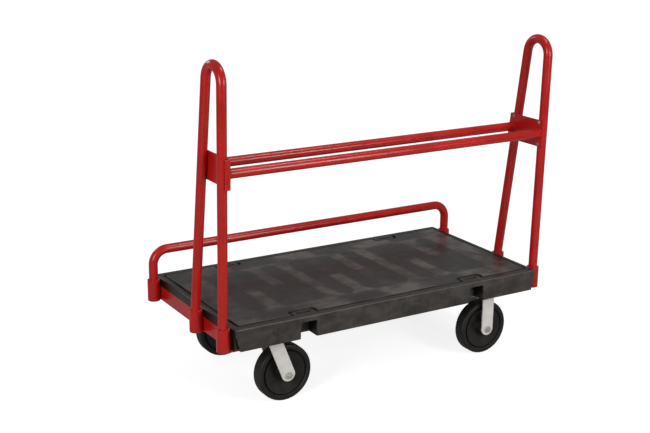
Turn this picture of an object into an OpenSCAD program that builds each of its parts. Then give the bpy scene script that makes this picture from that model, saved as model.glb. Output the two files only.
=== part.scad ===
// Panel cart: a moulded deck on four casters, with a leaning rack along the front edge
// and a low stop rail along the rear edge, for carrying wall board and sheets on edge.
// X runs along the length, the rack stands at -Y, Z is up and the wheels stand on Z = 0.
// All sizes are in millimetres and all angles in degrees.

/* [Deck] */
// Length of the deck over its two end lips
deck_l = 1273; // [1100:1:1500]
// Width of the deck over its two side skirts
deck_w = 660; // [620:5:760]
// Height of the skirt, from its lower edge to the rim
skirt_h = 78; // [70:1:100]
// Height of the end lip that stands out over the end bar
lip_t = 30; // [24:1:36]
// Step from the lip's end out to the face of the end bar
bar_step = 0.5; // [0.3:0.1:2]
// Radius of the deck's corners in plan
corner_r = 12; // [10:1:30]
// Radius of the rim's upper outer edge
rim_edge_r = 5; // [3:0.5:8]
// Thickness of the deck's top skin under the rim
skin_t = 10; // [7:0.5:14]
// Thickness of the skirts and of the walls of pads and notches
wall_t = 8; // [5:0.5:10]
// Thickness of the ribs under the deck
rib_t = 6; // [4:0.5:8]
// Height of the rib feet above the skirt's lower edge
rib_gap = 12; // [6:1:20]
// Setback of the skirt's lower corner from the deck's end wall
corner_cut = 14; // [8:1:20]

/* [Deck panel] */
// Rise of the load panel above the rim
panel_rise = 2; // [2:0.25:6]
// Width of the rim beside the panel at the two ends
rim_end_w = 28; // [22:1:40]
// Width of the rim beside the panel along the two sides
rim_side_w = 35; // [28:1:45]
// Radius of the panel's corners in plan
panel_corner_r = 8; // [5:1:25]
// Radius of the panel's upper edge
panel_edge_r = 1.5; // [1:0.25:1.75]
// Width of the groove at the foot of the panel
groove_w = 9; // [3:0.5:11]
// Depth of that groove below the rim
groove_d = 4; // [1:0.25:5]
// Number of rib cells along the deck
cell_count = 9; // [5:2:9]
// Spacing of the rib cells along the deck
cell_pitch = 118.5; // [100:0.5:122]
// Width of one rib cell
cell_w = 68; // [50:1:80]
// Length of one rib cell across the deck
cell_l = 410; // [340:5:430]
// Depth of the sink mark that each cell leaves in the panel
sink_d = 0.6; // [0.3:0.1:1.5]

/* [Strap pockets] */
// Distance of the strap notches from the middle of the deck
notch_x = 357; // [330:1:366]
// Width of a strap notch in the skirt
notch_w = 61; // [50:1:70]
// Depth of a strap notch behind the skirt's face
notch_d = 54; // [48:1:60]
// Thickness of the rim above a strap notch
notch_roof = 19; // [15:1:24]
// Length of the strap slot through the rim
slot_l = 56; // [40:1:60]
// Width of the strap slot through the rim
slot_w = 13; // [8:1:16]
// Inset of the strap slot's middle from the skirt's face
slot_inset = 43; // [40:0.5:44]
// Corner radius of the strap slot
slot_corner_r = 5.5; // [3:0.5:6]
// Length of the pocket in the panel's edge around a slot
pocket_l = 106; // [90:1:120]
// Depth of that pocket behind the panel's edge
pocket_d = 34; // [26:1:44]
// Run of the slanting ends of the pocket
pocket_slant = 12; // [6:1:20]

/* [End bars and sockets] */
// Thickness of the steel angle of an end bar
bar_t = 5; // [4:0.5:6]
// Width of the angle's flange under the deck
flange_w = 50; // [40:1:65]
// Outer diameter of a tube socket
socket_d = 46; // [43:0.5:50]
// Height of a tube socket
socket_h = 80; // [66:1:100]
// Drop of the socket's mouth below the rim
socket_drop = 3; // [0:0.5:8]
// Thickness of the socket's floor
socket_floor = 6; // [4:0.5:10]
// Half width of the weld between a socket and its end bar
weld_half = 5; // [4:0.5:8]
// Depth of that weld from the bar's face into the socket's wall
weld_depth = 5; // [4.5:0.25:5.5]
// Reach of the angle's standing leg past the middle of the outer sockets
web_past = 3; // [2:0.5:10]
// Inset of the outer sockets from the deck's sides
socket_inset = 45; // [40:1:60]
// Distance between the front and the middle socket
rack_base = 209; // [190:1:230]
// Distance between the outer bolts of an end bar
end_bolt_pitch = 200; // [170:5:230]
// Diameter of the bolts that hold the end bars
end_bolt_d = 10; // [8:1:12]
// Length of those bolts below the head
end_bolt_l = 35; // [28:1:40]
// Width of a hexagon head across its flats, per diameter of its bolt
head_ratio = 1.6; // [1.5:0.05:1.8]

/* [Tubes] */
// Outer diameter of every tube
tube_d = 33.4; // [30:0.1:35]
// Wall thickness of every tube
tube_wall = 2.5; // [1.5:0.25:4]
// Radial clearance of a tube in its socket
socket_fit = 0.1; // [0.05:0.05:0.3]
// Height of the rack's top above the floor
rack_h = 1206; // [1150:2:1300]
// Bend radius at the top of an upright, at the tube's middle
hairpin_r = 56; // [50:1:60]
// Forward lean of an upright's front leg
front_lean = 1; // [0.5:0.1:1.8]
// Length of the bend of a leg above its socket, along the tube's middle
mouth_bend_l = 12; // [10:1:16]
// Height of that bend's middle above the socket's mouth
mouth_rise = 12; // [10:1:20]
// Growth of a leg's wall on each side where the tube is bent
bend_growth = 0.05; // [0.04:0.01:0.1]
// Reach of a leg's straight runs into its bends
bend_lap = 2; // [1.5:0.1:2]
// Height of the rack's two bars above the floor
rack_bar_z = 848; // [780:1:900]
// Height of the stop rail's middle above the floor
rail_z = 435; // [410:1:500]
// Bend radius of the stop rail, at the tube's middle
rail_bend_r = 55; // [45:1:65]

/* [Rack brackets] */
// Height of a rack bracket
bracket_h = 100; // [90:1:130]
// Thickness of a rack bracket
bracket_t = 4; // [3:0.25:6]
// Distance of the bracket's screws from the bars' middle height
screw_rise = 41; // [36:0.5:44]
// Diameter of the bracket's screws
screw_d = 8; // [6:0.5:9]
// Diameter of a screw's head
screw_head_d = 14; // [12:0.5:16]
// Height of a screw's head
screw_head_h = 4; // [3:0.25:6]
// Length of a screw below its head
screw_l = 16; // [12:1:18]
// Size of the weld round the end of a rack bar
bar_weld = 4; // [2:0.5:6]

/* [Casters] */
// Height of the deck's underside above the floor
caster_h = 250; // [244:1:280]
// Distance of the casters from the middle of the deck, along it
caster_x = 459; // [440:1:466]
// Distance of the casters from the middle of the deck, across it
caster_y = 232; // [200:1:236]
// Radius of a wheel
wheel_r = 103; // [98:0.5:105]
// Width of a tyre
wheel_w = 48; // [42:0.5:56]
// Rounding of a tyre's shoulders
shoulder_r = 8; // [4:0.5:10]
// Inner radius of a tyre
tyre_bore_r = 84; // [80:0.5:88]
// Setback of the wheel's rim behind the tyre's side
rim_step = 3; // [1:0.5:5]
// Width of the flat land on the wheel's rim
rim_land = 6; // [4:0.5:10]
// Length of a wheel's hub
hub_l = 79; // [74:0.5:84]
// Radius of a wheel's hub
hub_r = 27; // [24:0.5:32]
// Growth of the hub's radius towards its foot
hub_foot = 4; // [2:0.5:8]
// Thickness of the wheel's web where it is thinnest
web_t = 24; // [16:1:30]
// Side play between a hub and the fork's legs
hub_play = 0.5; // [0.3:0.1:0.9]
// Trail of a swivel wheel behind its kingpin
trail = 51; // [44:1:56]
// Width of a fork's legs
leg_w = 51; // [44:1:56]
// Thickness of a fork's legs
leg_t = 5; // [4:0.25:6]
// Height of the round leg end's middle above the axle
leg_end_rise = 2.5; // [0.5:0.5:5]
// Step of the round leg end over the sides of its leg
leg_end_step = 0.25; // [0.2:0.05:1]
// Outer bend radius between a fork's crown and legs
fork_bend_r = 10; // [7:0.5:12]
// Height of the casters' top plates inside the skirt, above its lower edge
plate_recess = 8; // [4:0.5:10]
// Length of a caster's top plate, along the deck
plate_l = 114; // [110:1:124]
// Width of a caster's top plate, across the deck
plate_w = 102; // [98:1:110]
// Thickness of a caster's top plate
plate_t = 6; // [5:0.5:8]
// Corner radius of a caster's top plate
plate_corner_r = 10; // [6:1:12]
// Spacing of the caster's bolts along the deck
bolt_pitch_x = 92; // [90:1:96]
// Spacing of the caster's bolts across the deck
bolt_pitch_y = 76; // [74:1:80]
// Diameter of the caster's bolts
bolt_d = 10; // [8:0.5:11]
// Length of the caster's bolts below the head
bolt_l = 40; // [32:1:45]

/* [Swivel head] */
// Height between the top plate and the fork's crown
race_h = 18; // [16:1:20]
// Thickness of a swivel fork's crown
crown_t = 8; // [6:0.5:9]
// Rim of a swivel fork's round crown outside the race
crown_rim = 2; // [1:0.5:3]
// Mean radius of the ball race
race_r = 33; // [30:0.5:34]
// Radial width of the race's rings
race_w = 14; // [12:0.5:16]
// Diameter of a race ball
ball_d = 9.5; // [8:0.25:10.5]
// Number of race balls
ball_count = 16; // [10:1:18]
// Running clearance of balls, rollers, sleeves and kingpin
run_fit = 0.08; // [0.02:0.01:0.1]
// Gap between the two race rings
race_gap = 2; // [1:0.25:3]
// Diameter of the kingpin
kingpin_d = 16; // [14:0.5:18]
// Diameter of the kingpin's flat head
kingpin_head_d = 28; // [24:0.5:32]
// Thickness of the kingpin's head, let into the top plate
kingpin_head_t = 3; // [2:0.25:3.5]
// Width across the flats of the kingpin's nut
kingpin_nut_af = 24; // [22:1:28]
// Height of the kingpin's nut
kingpin_nut_h = 9; // [8:0.5:12]
// Gap between the kingpin's nut and the crown
nut_gap = 0.3; // [0.2:0.05:0.6]

/* [Axles] */
// Diameter of an axle bolt
axle_d = 12.7; // [10:0.1:13]
// Clearance of an axle bolt in its fork, sleeve and nut
axle_fit = 0.1; // [0.05:0.05:0.2]
// Width across the flats of an axle's head and nut
axle_af = 22; // [18:0.5:24]
// Height of an axle's head
axle_head_h = 8; // [6:0.5:10]
// Height of an axle's nut
axle_nut_h = 8; // [7:0.5:12]
// Length of the axle's thread past its nut
axle_end = 3; // [1:0.5:6]
// Outer diameter of the sleeve inside a wheel's bearing
sleeve_d = 22; // [20:0.5:23]
// Diameter of a bearing roller
roller_d = 6.2; // [5:0.1:6.5]
// Number of rollers in a bearing
roller_count = 12; // [8:1:12]
// Setback of the rollers' ends inside the hub
roller_setback = 3; // [2:0.5:6]
// Height of a hexagon head on the bolts under the deck
bolt_head_h = 6; // [5:0.25:7]

/* [Hidden] */
$fn = 64;

// Colours as they show
deck_black = "#34302d";
paint_red = "#a81c1b";
zinc = "#c9c6c1";
wheel_black = "#211f1e";

// Ends of the deck
left = -1;
right = 1;
// Cutting tools run this far past what they cut
over = 1;

// Heights of the deck
deck_z = caster_h;
rim_z = deck_z + skirt_h;
panel_z = rim_z + panel_rise;
lip_z = rim_z - lip_t;
skin_z = rim_z - skin_t;
rib_z = deck_z + rib_gap;
// Face of the end bars and the deck's end wall behind them
bar_face_x = deck_l / 2 + bar_step;
end_wall_x = bar_face_x - bar_t;
// Outline of the load panel
panel_l = deck_l - 2 * rim_end_w;
panel_w = deck_w - 2 * rim_side_w;
pocket_y = panel_w / 2 - pocket_d;
slot_y = deck_w / 2 - slot_inset;

// Places of the sockets
socket_r = socket_d / 2;
socket_x = bar_face_x + socket_r;
socket_top = rim_z - socket_drop;
socket_bottom = socket_top - socket_h;
socket_seat = socket_bottom + socket_floor;
outer_y = deck_w / 2 - socket_inset;
middle_y = -outer_y + rack_base;
bar_half_l = outer_y + socket_r;
web_half_l = outer_y + web_past;
end_bolt_x = bar_face_x - flange_w / 2;

// The two legs of an upright: each stands upright in its socket, bends above the mouth and
// leans forward, and the hairpin at the top is tangent to both.
tube_r = tube_d / 2;
bend_z = socket_top + mouth_rise;
hairpin_z = rack_h - tube_r - hairpin_r;
hairpin_y = -outer_y - tan(front_lean) * (hairpin_z - bend_z) + hairpin_r / cos(front_lean);
hairpin_reach = norm([middle_y - hairpin_y, hairpin_z - bend_z]);
rear_lean = atan2(middle_y - hairpin_y, hairpin_z - bend_z) - asin(hairpin_r / hairpin_reach);
function leg_y(foot_y, lean, z) = foot_y - tan(lean) * (z - bend_z);
front_bar_y = leg_y(-outer_y, front_lean, rack_bar_z);
rear_bar_y = leg_y(middle_y, rear_lean, rack_bar_z);

// The web of a bracket touches the inner side of both legs
bracket_x = socket_x - tube_r;
bracket_face_x = bracket_x - bracket_t;
screw_hole_r = screw_d / 2 + socket_fit;

// Caster heights and the inside of a fork
axle_z = wheel_r;
fork_half = hub_l / 2 + hub_play;
fork_out = fork_half + leg_t;
leg_half = leg_w / 2 - leg_end_step;
mount_z = deck_z + plate_recess;
plate_z = mount_z - plate_t;
crown_z = plate_z - race_h;
ball_z = plate_z - race_h / 2;
ball_r = ball_d / 2;
crown_r = race_r + race_w / 2 + crown_rim;
sleeve_r = sleeve_d / 2;
axle_r = axle_d / 2;
roller_r = roller_d / 2;
roller_ring_r = sleeve_r + run_fit + roller_r;
hub_bore_r = roller_ring_r + roller_r + run_fit;
kingpin_r = kingpin_d / 2;

// Plain shapes

// A rectangle with round corners, centred
module round_rect(l, w, r) {
    square([l - 2 * r, w], center = true);
    square([l, w - 2 * r], center = true);
    for (x = [-1, 1], y = [-1, 1])
        translate([x * (l / 2 - r), y * (w / 2 - r)])
            circle(r);
}

// The outer stretch of a slab's section: r wide and h high, its upper outer edge rounded by e
module edge_section(r, h, e) {
    square([r, h - e]);
    square([r - e, h]);
    translate([r - e, h - e])
        circle(e);
}

// A slab from z = 0 to h with corner radius r, whose upper outer edge is rounded by e
module soft_slab(l, w, r, h, e) {
    translate([r - l / 2, r - w / 2, 0])
        cube([l - 2 * r, w - 2 * r, h]);
    for (x = [0, 1])
        mirror([x, 0, 0])
            translate([l / 2 - r, w / 2 - r, 0])
                rotate([90, 0, 0])
                    linear_extrude(w - 2 * r)
                        edge_section(r, h, e);
    for (y = [0, 1])
        mirror([0, y, 0])
            translate([r - l / 2, w / 2 - r, 0])
                rotate([90, 0, 90])
                    linear_extrude(l - 2 * r)
                        edge_section(r, h, e);
    for (x = [0, 1], y = [0, 1])
        mirror([x, 0, 0])
            mirror([0, y, 0])
                translate([l / 2 - r, w / 2 - r, 0])
                    rotate_extrude(angle = 90)
                        edge_section(r, h, e);
}

// A long cell with round ends, centred, running across the deck
module cell(w, l) {
    square([w, l - w], center = true);
    for (y = [-1, 1])
        translate([0, y * (l - w) / 2])
            circle(w / 2);
}

// A box across the deck between two heights
module slab_between(x0, x1, y0, y1, z0, z1) {
    translate([x0, y0, z0])
        cube([x1 - x0, y1 - y0, z1 - z0]);
}

// A hexagon prism across the flats af
module hexagon(af, h) {
    cylinder(d = af / cos(30), h = h, $fn = 6);
}

// Section of a tube whose wall has grown by growth on each side
module tube_section(growth) {
    difference() {
        circle(tube_r + growth);
        circle(tube_r - tube_wall - growth);
    }
}

// A straight tube of length l along +Z
module tube_run(l) {
    linear_extrude(l)
        tube_section(0);
}

// A bent tube in the X-Y plane: a sweep about the origin that starts on +X
module tube_bend(r, sweep, growth) {
    rotate_extrude(angle = sweep)
        translate([r, 0])
            tube_section(growth);
}

// Deck

// The pocket in the panel's edge round one strap slot, drawn for the rear side
module pocket_outline(grow) {
    half = pocket_l / 2 - grow;
    y_in = pocket_y + grow;
    y_out = deck_w / 2;
    polygon([
        [-half, y_out], [-half, y_in + pocket_slant], [-half + pocket_slant, y_in],
        [half - pocket_slant, y_in], [half, y_in + pocket_slant], [half, y_out]
    ]);
}

// The groove at the foot of the panel, which also runs round the pockets
module groove_outline() {
    difference() {
        round_rect(panel_l + 2 * groove_w, panel_w + 2 * groove_w, panel_corner_r + groove_w);
        difference() {
            round_rect(panel_l, panel_w, panel_corner_r);
            at_notches()
                pocket_outline(0);
        }
        at_notches()
            pocket_outline(groove_w);
    }
}

// Puts its children at the four strap notches, drawn for the rear side
module at_notches() {
    for (x = [-1, 1], y = [0, 1])
        mirror([0, y, 0])
            translate([x * notch_x, 0, 0])
                children();
}

// The four slanting corner cuts under the lip, each set back by inset
module corner_cuts(inset) {
    clear_y = bar_half_l + over - inset;
    for (x = [0, 1], y = [0, 1])
        mirror([x, 0, 0])
            mirror([0, y, 0])
                translate([0, deck_w / 2 + over, 0])
                    rotate([90, 0, 0])
                        linear_extrude(deck_w / 2 + over - clear_y)
                            polygon([
                                [end_wall_x - corner_cut - inset, deck_z - over],
                                [end_wall_x + corner_cut, deck_z - over],
                                [end_wall_x + corner_cut, lip_z],
                                [end_wall_x - inset, lip_z]
                            ]);
}

// The rim, the skirts and the hollow under them
module deck_shell() {
    cavity_r = corner_r - wall_t;
    difference() {
        union() {
            translate([0, 0, lip_z])
                soft_slab(deck_l, deck_w, corner_r, lip_t, rim_edge_r);
            translate([0, 0, deck_z])
                linear_extrude(lip_z - deck_z)
                    round_rect(2 * end_wall_x, deck_w, corner_r);
        }
        corner_cuts(0);
        difference() {
            translate([0, 0, deck_z - over])
                linear_extrude(skin_z - deck_z + over)
                    round_rect(2 * (end_wall_x - wall_t), deck_w - 2 * wall_t, cavity_r);
            corner_cuts(wall_t);
        }
    }
}

// The middles of the rib cells along the deck
function cell_xs() = [for (i = [0 : cell_count - 1]) (i - (cell_count - 1) / 2) * cell_pitch];

// The rib cells, the long ribs and the short ribs from the cells to the skirts, under the skin
module deck_ribs() {
    rib_half_l = end_wall_x - wall_t / 2;
    rib_half_w = deck_w / 2 - wall_t / 2;
    translate([0, 0, rib_z])
        linear_extrude(skin_z - rib_z + over)
            for (x = cell_xs())
                translate([x, 0])
                    difference() {
                        union() {
                            cell(cell_w, cell_l);
                            square([rib_t, 2 * rib_half_w], center = true);
                        }
                        cell(cell_w - 2 * rib_t, cell_l - 2 * rib_t);
                    }
    for (y = [-caster_y, 0, caster_y])
        slab_between(-rib_half_l, rib_half_l, y - rib_t / 2, y + rib_t / 2, rib_z, skin_z + over);
}

// A frame with four bolt posts over one caster's top plate
module caster_pad() {
    translate([0, 0, mount_z]) {
        linear_extrude(skin_z - mount_z + over)
            difference() {
                round_rect(plate_l, plate_w, plate_corner_r);
                round_rect(plate_l - 2 * wall_t, plate_w - 2 * wall_t, plate_corner_r - wall_t / 2);
            }
        for (p = caster_bolt_points())
            translate([p[0], p[1], 0])
                cylinder(r = bolt_d / 2 + wall_t, h = skin_z - mount_z + over);
    }
}

// The four bolts of one caster, about its middle
function caster_bolt_points() =
    [for (x = [-1, 1], y = [-1, 1]) [x * bolt_pitch_x / 2, y * bolt_pitch_y / 2]];

// The middles of the four casters' top plates
function caster_points() = [for (x = [-1, 1], y = [-1, 1]) [x * caster_x, y * caster_y]];

// The bolts of one end bar, in a row across the deck
function end_bolt_ys() = [for (i = [-1 : 1]) i * end_bolt_pitch];

// The walls that close one strap notch inside the skirt, drawn for the rear side
module notch_walls() {
    slab_between(
        -notch_w / 2 - wall_t, notch_w / 2 + wall_t,
        deck_w / 2 - notch_d - wall_t, deck_w / 2 - wall_t / 2,
        deck_z, skin_z + over
    );
}

// The open notch and its strap slot, drawn for the rear side
module notch_cut() {
    slab_between(
        -notch_w / 2, notch_w / 2, deck_w / 2 - notch_d, deck_w / 2 + over,
        deck_z - over, rim_z - notch_roof
    );
    translate([0, slot_y, rim_z - notch_roof - over])
        linear_extrude(notch_roof + panel_rise + 2 * over)
            round_rect(slot_l, slot_w, slot_corner_r);
}

module deck() {
    color(deck_black)
        difference() {
            union() {
                deck_shell();
                deck_ribs();
                at_notches()
                    notch_walls();
                for (p = caster_points())
                    translate([p[0], p[1], 0])
                        caster_pad();
                for (x = [left, right], y = end_bolt_ys())
                    translate([x * end_bolt_x, y, deck_z])
                        cylinder(r = end_bolt_d / 2 + wall_t, h = skin_z - deck_z + over);
                difference() {
                    translate([0, 0, skin_z])
                        soft_slab(panel_l, panel_w, panel_corner_r, skin_t + panel_rise, panel_edge_r);
                    translate([0, 0, rim_z])
                        linear_extrude(panel_rise + over)
                            at_notches()
                                pocket_outline(0);
                }
            }
            at_notches()
                notch_cut();
            translate([0, 0, rim_z - groove_d])
                linear_extrude(groove_d + over)
                    groove_outline();
            translate([0, 0, panel_z - sink_d])
                linear_extrude(sink_d + over)
                    for (x = cell_xs())
                        translate([x, 0])
                            cell(cell_w, cell_l);
            for (p = caster_points(), b = caster_bolt_points())
                translate([p[0] + b[0], p[1] + b[1], mount_z - over])
                    cylinder(r = bolt_d / 2 + axle_fit, h = bolt_l - plate_t + 2 * over);
            for (x = [left, right], y = end_bolt_ys())
                translate([x * end_bolt_x, y, deck_z - over])
                    cylinder(r = end_bolt_d / 2 + axle_fit, h = end_bolt_l - bar_t + 2 * over);
        }
}

// End bars and sockets

// A steel angle: one leg stands under the deck's lip, the flange lies under the deck
module end_bar(side) {
    color(paint_red)
        mirror([side == left ? 1 : 0, 0, 0])
            difference() {
                union() {
                    slab_between(end_wall_x, bar_face_x, -web_half_l, web_half_l, deck_z - bar_t, lip_z);
                    slab_between(
                        bar_face_x - flange_w, bar_face_x, -bar_half_l, bar_half_l,
                        deck_z - bar_t, deck_z
                    );
                }
                for (y = end_bolt_ys())
                    translate([end_bolt_x, y, deck_z - bar_t - over])
                        cylinder(r = end_bolt_d / 2 + axle_fit, h = bar_t + 2 * over);
            }
}

// A hexagon bolt that points up, with the underside of its head at z = 0
module hex_bolt(d, l) {
    cylinder(d = d, h = l);
    translate([0, 0, -bolt_head_h])
        hexagon(head_ratio * d, bolt_head_h);
}

module end_bolts(side) {
    color(zinc)
        for (y = end_bolt_ys())
            translate([side * end_bolt_x, y, deck_z - bar_t])
                hex_bolt(end_bolt_d, end_bolt_l);
}

// A tube socket with its weld to the end bar
module socket(side, y) {
    color(paint_red)
        translate([side * socket_x, y, 0])
            mirror([side == left ? 1 : 0, 0, 0])
                difference() {
                    union() {
                        translate([0, 0, socket_bottom])
                            cylinder(r = socket_r, h = socket_h);
                        slab_between(
                            -socket_r, -socket_r + weld_depth, -weld_half, weld_half,
                            deck_z - bar_t, lip_z
                        );
                    }
                    translate([0, 0, socket_seat])
                        cylinder(r = tube_r + socket_fit, h = socket_h);
                }
}

// Tubes

// One leg in the plane x = 0: upright in the socket, bent at the mouth, leaning to the hairpin
module leg(foot_y, lean, tangent_z) {
    bend_r = mouth_bend_l * 180 / (PI * lean);
    bend_h = bend_r * tan(lean / 2);
    run_l = (tangent_z - bend_z) / cos(lean) - bend_h;
    translate([0, foot_y, socket_seat])
        tube_run(bend_z - bend_h - socket_seat + bend_lap);
    translate([0, foot_y - bend_r, bend_z - bend_h])
        rotate([90, 0, 90])
            tube_bend(bend_r, lean, bend_growth);
    translate([0, foot_y, bend_z])
        rotate([lean, 0, 0])
            translate([0, 0, bend_h - bend_lap])
                tube_run(run_l + 2 * bend_lap);
}

module upright(side) {
    color(paint_red)
        difference() {
            translate([side * socket_x, 0, 0]) {
                leg(-outer_y, front_lean, hairpin_z - hairpin_r * sin(front_lean));
                leg(middle_y, rear_lean, hairpin_z + hairpin_r * sin(rear_lean));
                translate([0, hairpin_y, hairpin_z])
                    rotate([90, 0, 90])
                        rotate([0, 0, rear_lean])
                            tube_bend(hairpin_r, 180 + front_lean - rear_lean, bend_growth);
            }
            for (p = screw_points())
                translate([0, p[0], p[1]])
                    rotate([0, side * 90, 0])
                        cylinder(r = screw_hole_r, h = socket_x);
        }
}

// The stop rail: two legs in the rear sockets, two bends and the long run between them
module rear_rail() {
    leg_l = rail_z - rail_bend_r - socket_seat;
    color(paint_red)
        translate([0, outer_y, 0]) {
            for (side = [0, 1])
                mirror([side, 0, 0]) {
                    translate([socket_x, 0, socket_seat])
                        tube_run(leg_l);
                    translate([socket_x - rail_bend_r, 0, rail_z - rail_bend_r])
                        rotate([90, 0, 0])
                            tube_bend(rail_bend_r, 90, 0);
                }
            translate([rail_bend_r - socket_x, 0, rail_z])
                rotate([0, 90, 0])
                    tube_run(2 * (socket_x - rail_bend_r));
        }
}

// Rack brackets and bars

// The four screws of a bracket, on the two legs' middles
function screw_points() = [
    for (rise = [-screw_rise, screw_rise], leg = [[-outer_y, front_lean], [middle_y, rear_lean]])
        [leg_y(leg[0], leg[1], rack_bar_z + rise), rack_bar_z + rise]
];

// One flange of a bracket, wrapped round half of its leg: out is -1 for the front leg, 1 for the rear
module bracket_flange(foot_y, lean, out) {
    translate([0, leg_y(foot_y, lean, rack_bar_z), rack_bar_z])
        rotate([lean, 0, 0])
            translate([bracket_face_x, out * (tube_r + bracket_t / 2) - bracket_t / 2, -bracket_h])
                cube([socket_x - bracket_face_x, bracket_t, 2 * bracket_h]);
}

// A steel channel across both legs, with its flanges along their outer sides
module rack_bracket(side) {
    reach = tube_r + bracket_t;
    low = rack_bar_z - bracket_h;
    high = rack_bar_z + bracket_h;
    color(paint_red)
        mirror([side == left ? 1 : 0, 0, 0])
            intersection() {
                slab_between(
                    0, deck_l, -deck_w, deck_w,
                    rack_bar_z - bracket_h / 2, rack_bar_z + bracket_h / 2
                );
                difference() {
                    union() {
                        translate([bracket_face_x, 0, 0])
                            rotate([90, 0, 90])
                                linear_extrude(bracket_t)
                                    polygon([
                                        [leg_y(-outer_y, front_lean, low) - reach / cos(front_lean), low],
                                        [leg_y(middle_y, rear_lean, low) + reach / cos(rear_lean), low],
                                        [leg_y(middle_y, rear_lean, high) + reach / cos(rear_lean), high],
                                        [leg_y(-outer_y, front_lean, high) - reach / cos(front_lean), high]
                                    ]);
                        bracket_flange(-outer_y, front_lean, -1);
                        bracket_flange(middle_y, rear_lean, 1);
                    }
                    for (p = screw_points())
                        translate([bracket_face_x - over, p[0], p[1]])
                            rotate([0, 90, 0])
                                cylinder(r = screw_hole_r, h = bracket_t + 2 * over);
                }
            }
}

module bracket_screws(side) {
    color(zinc)
        for (p = screw_points())
            translate([side * bracket_face_x, p[0], p[1]])
                rotate([0, side * 90, 0]) {
                    cylinder(d = screw_d, h = screw_l);
                    translate([0, 0, -screw_head_h])
                        cylinder(d1 = screw_head_d - screw_head_h, d2 = screw_head_d, h = screw_head_h);
                }
}

// A rack bar with the weld round each of its ends
module rack_bar(y) {
    color(paint_red)
        translate([0, y, rack_bar_z]) {
            translate([-bracket_face_x, 0, 0])
                rotate([0, 90, 0])
                    tube_run(2 * bracket_face_x);
            for (side = [0, 1])
                mirror([side, 0, 0])
                    translate([bracket_face_x - bar_weld, 0, 0])
                        rotate([0, 90, 0])
                            difference() {
                                cylinder(r1 = tube_r, r2 = tube_r + bar_weld, h = bar_weld);
                                translate([0, 0, -over])
                                    cylinder(r = tube_r - tube_wall / 2, h = bar_weld + 2 * over);
                            }
        }
}

// Casters

module caster_bolts() {
    color(zinc)
        for (p = caster_points(), b = caster_bolt_points())
            translate([p[0] + b[0], p[1] + b[1], plate_z])
                hex_bolt(bolt_d, bolt_l);
}

// A caster's flat top plate with its four bolt holes, about its own middle
module top_plate() {
    translate([0, 0, plate_z])
        linear_extrude(plate_t)
            difference() {
                round_rect(plate_l, plate_w, plate_corner_r);
                for (b = caster_bolt_points())
                    translate(b)
                        circle(bolt_d / 2 + axle_fit);
            }
}

// One ring of the ball race, from z0 to z1, with its share of the ball track
module race_ring(z0, z1) {
    rotate_extrude()
        difference() {
            translate([race_r - race_w / 2, z0])
                square([race_w, z1 - z0]);
            translate([race_r, ball_z])
                circle(ball_r + run_fit);
        }
}

// The top plate of a swivel caster with the upper race ring
module swivel_plate(x, y) {
    color(zinc)
        translate([x, y, 0])
            difference() {
                union() {
                    top_plate();
                    race_ring(ball_z + race_gap / 2, plate_z);
                }
                translate([0, 0, plate_z - over])
                    cylinder(r = kingpin_r + axle_fit, h = plate_t + 2 * over);
                translate([0, 0, mount_z - kingpin_head_t])
                    cylinder(d = kingpin_head_d + 2 * axle_fit, h = kingpin_head_t + over);
            }
}

module race_balls(x, y) {
    color(zinc)
        translate([x, y, ball_z])
            for (i = [0 : ball_count - 1])
                rotate([0, 0, i * 360 / ball_count])
                    translate([race_r, 0, 0])
                        sphere(ball_r);
}

module kingpin(x, y) {
    foot_z = crown_z - crown_t - nut_gap - kingpin_nut_h - axle_end;
    color(zinc)
        translate([x, y, 0]) {
            translate([0, 0, foot_z])
                cylinder(r = kingpin_r, h = mount_z - foot_z);
            translate([0, 0, mount_z - kingpin_head_t])
                cylinder(d = kingpin_head_d, h = kingpin_head_t);
        }
}

module kingpin_nut(x, y) {
    color(zinc)
        translate([x, y, crown_z - crown_t - nut_gap - kingpin_nut_h])
            difference() {
                hexagon(kingpin_nut_af, kingpin_nut_h);
                translate([0, 0, -over])
                    cylinder(r = kingpin_r + axle_fit, h = kingpin_nut_h + 2 * over);
            }
}

// A bent steel fork seen from its end: legs down to the floor, a crown of thickness t at the top
module fork_section(top_z, t) {
    inner_r = fork_bend_r - leg_t;
    difference() {
        union() {
            translate([-fork_out, 0])
                square([2 * fork_out, top_z - fork_bend_r]);
            translate([-fork_out + fork_bend_r, 0])
                square([2 * (fork_out - fork_bend_r), top_z]);
            for (s = [-1, 1])
                translate([s * (fork_out - fork_bend_r), top_z - fork_bend_r])
                    circle(fork_bend_r);
        }
        translate([-fork_half, -over])
            square([2 * fork_half, top_z - t - inner_r + over]);
        translate([-fork_half + inner_r, -over])
            square([2 * (fork_half - inner_r), top_z - t + over]);
        for (s = [-1, 1])
            translate([s * (fork_half - inner_r), top_z - t - inner_r])
                circle(inner_r);
    }
}

// A fork seen from the side: a leg of even width with a round end by the axle, reaching to top_z
module fork_side(top_z, lead) {
    end_z = axle_z + leg_end_rise;
    slope = atan2(lead, top_z - end_z);
    reach = norm([lead, top_z - end_z]) + leg_w;
    intersection() {
        translate([lead, end_z]) {
            circle(leg_w / 2);
            rotate(slope)
                translate([-leg_half, 0])
                    square([2 * leg_half, reach]);
        }
        translate([-wheel_r, 0])
            square([3 * wheel_r, top_z]);
    }
}

// The bent fork itself, with the axle's hole through both legs
module bent_fork(top_z, lead, t) {
    difference() {
        intersection() {
            translate([-2 * wheel_r, 0, 0])
                rotate([90, 0, 90])
                    linear_extrude(4 * wheel_r)
                        fork_section(top_z, t);
            translate([0, fork_out + over, 0])
                rotate([90, 0, 0])
                    linear_extrude(2 * (fork_out + over))
                        fork_side(top_z, lead);
        }
        translate([lead, 0, axle_z])
            rotate([90, 0, 0])
                cylinder(r = axle_r + axle_fit, h = 2 * (fork_out + over), center = true);
    }
}

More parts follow.
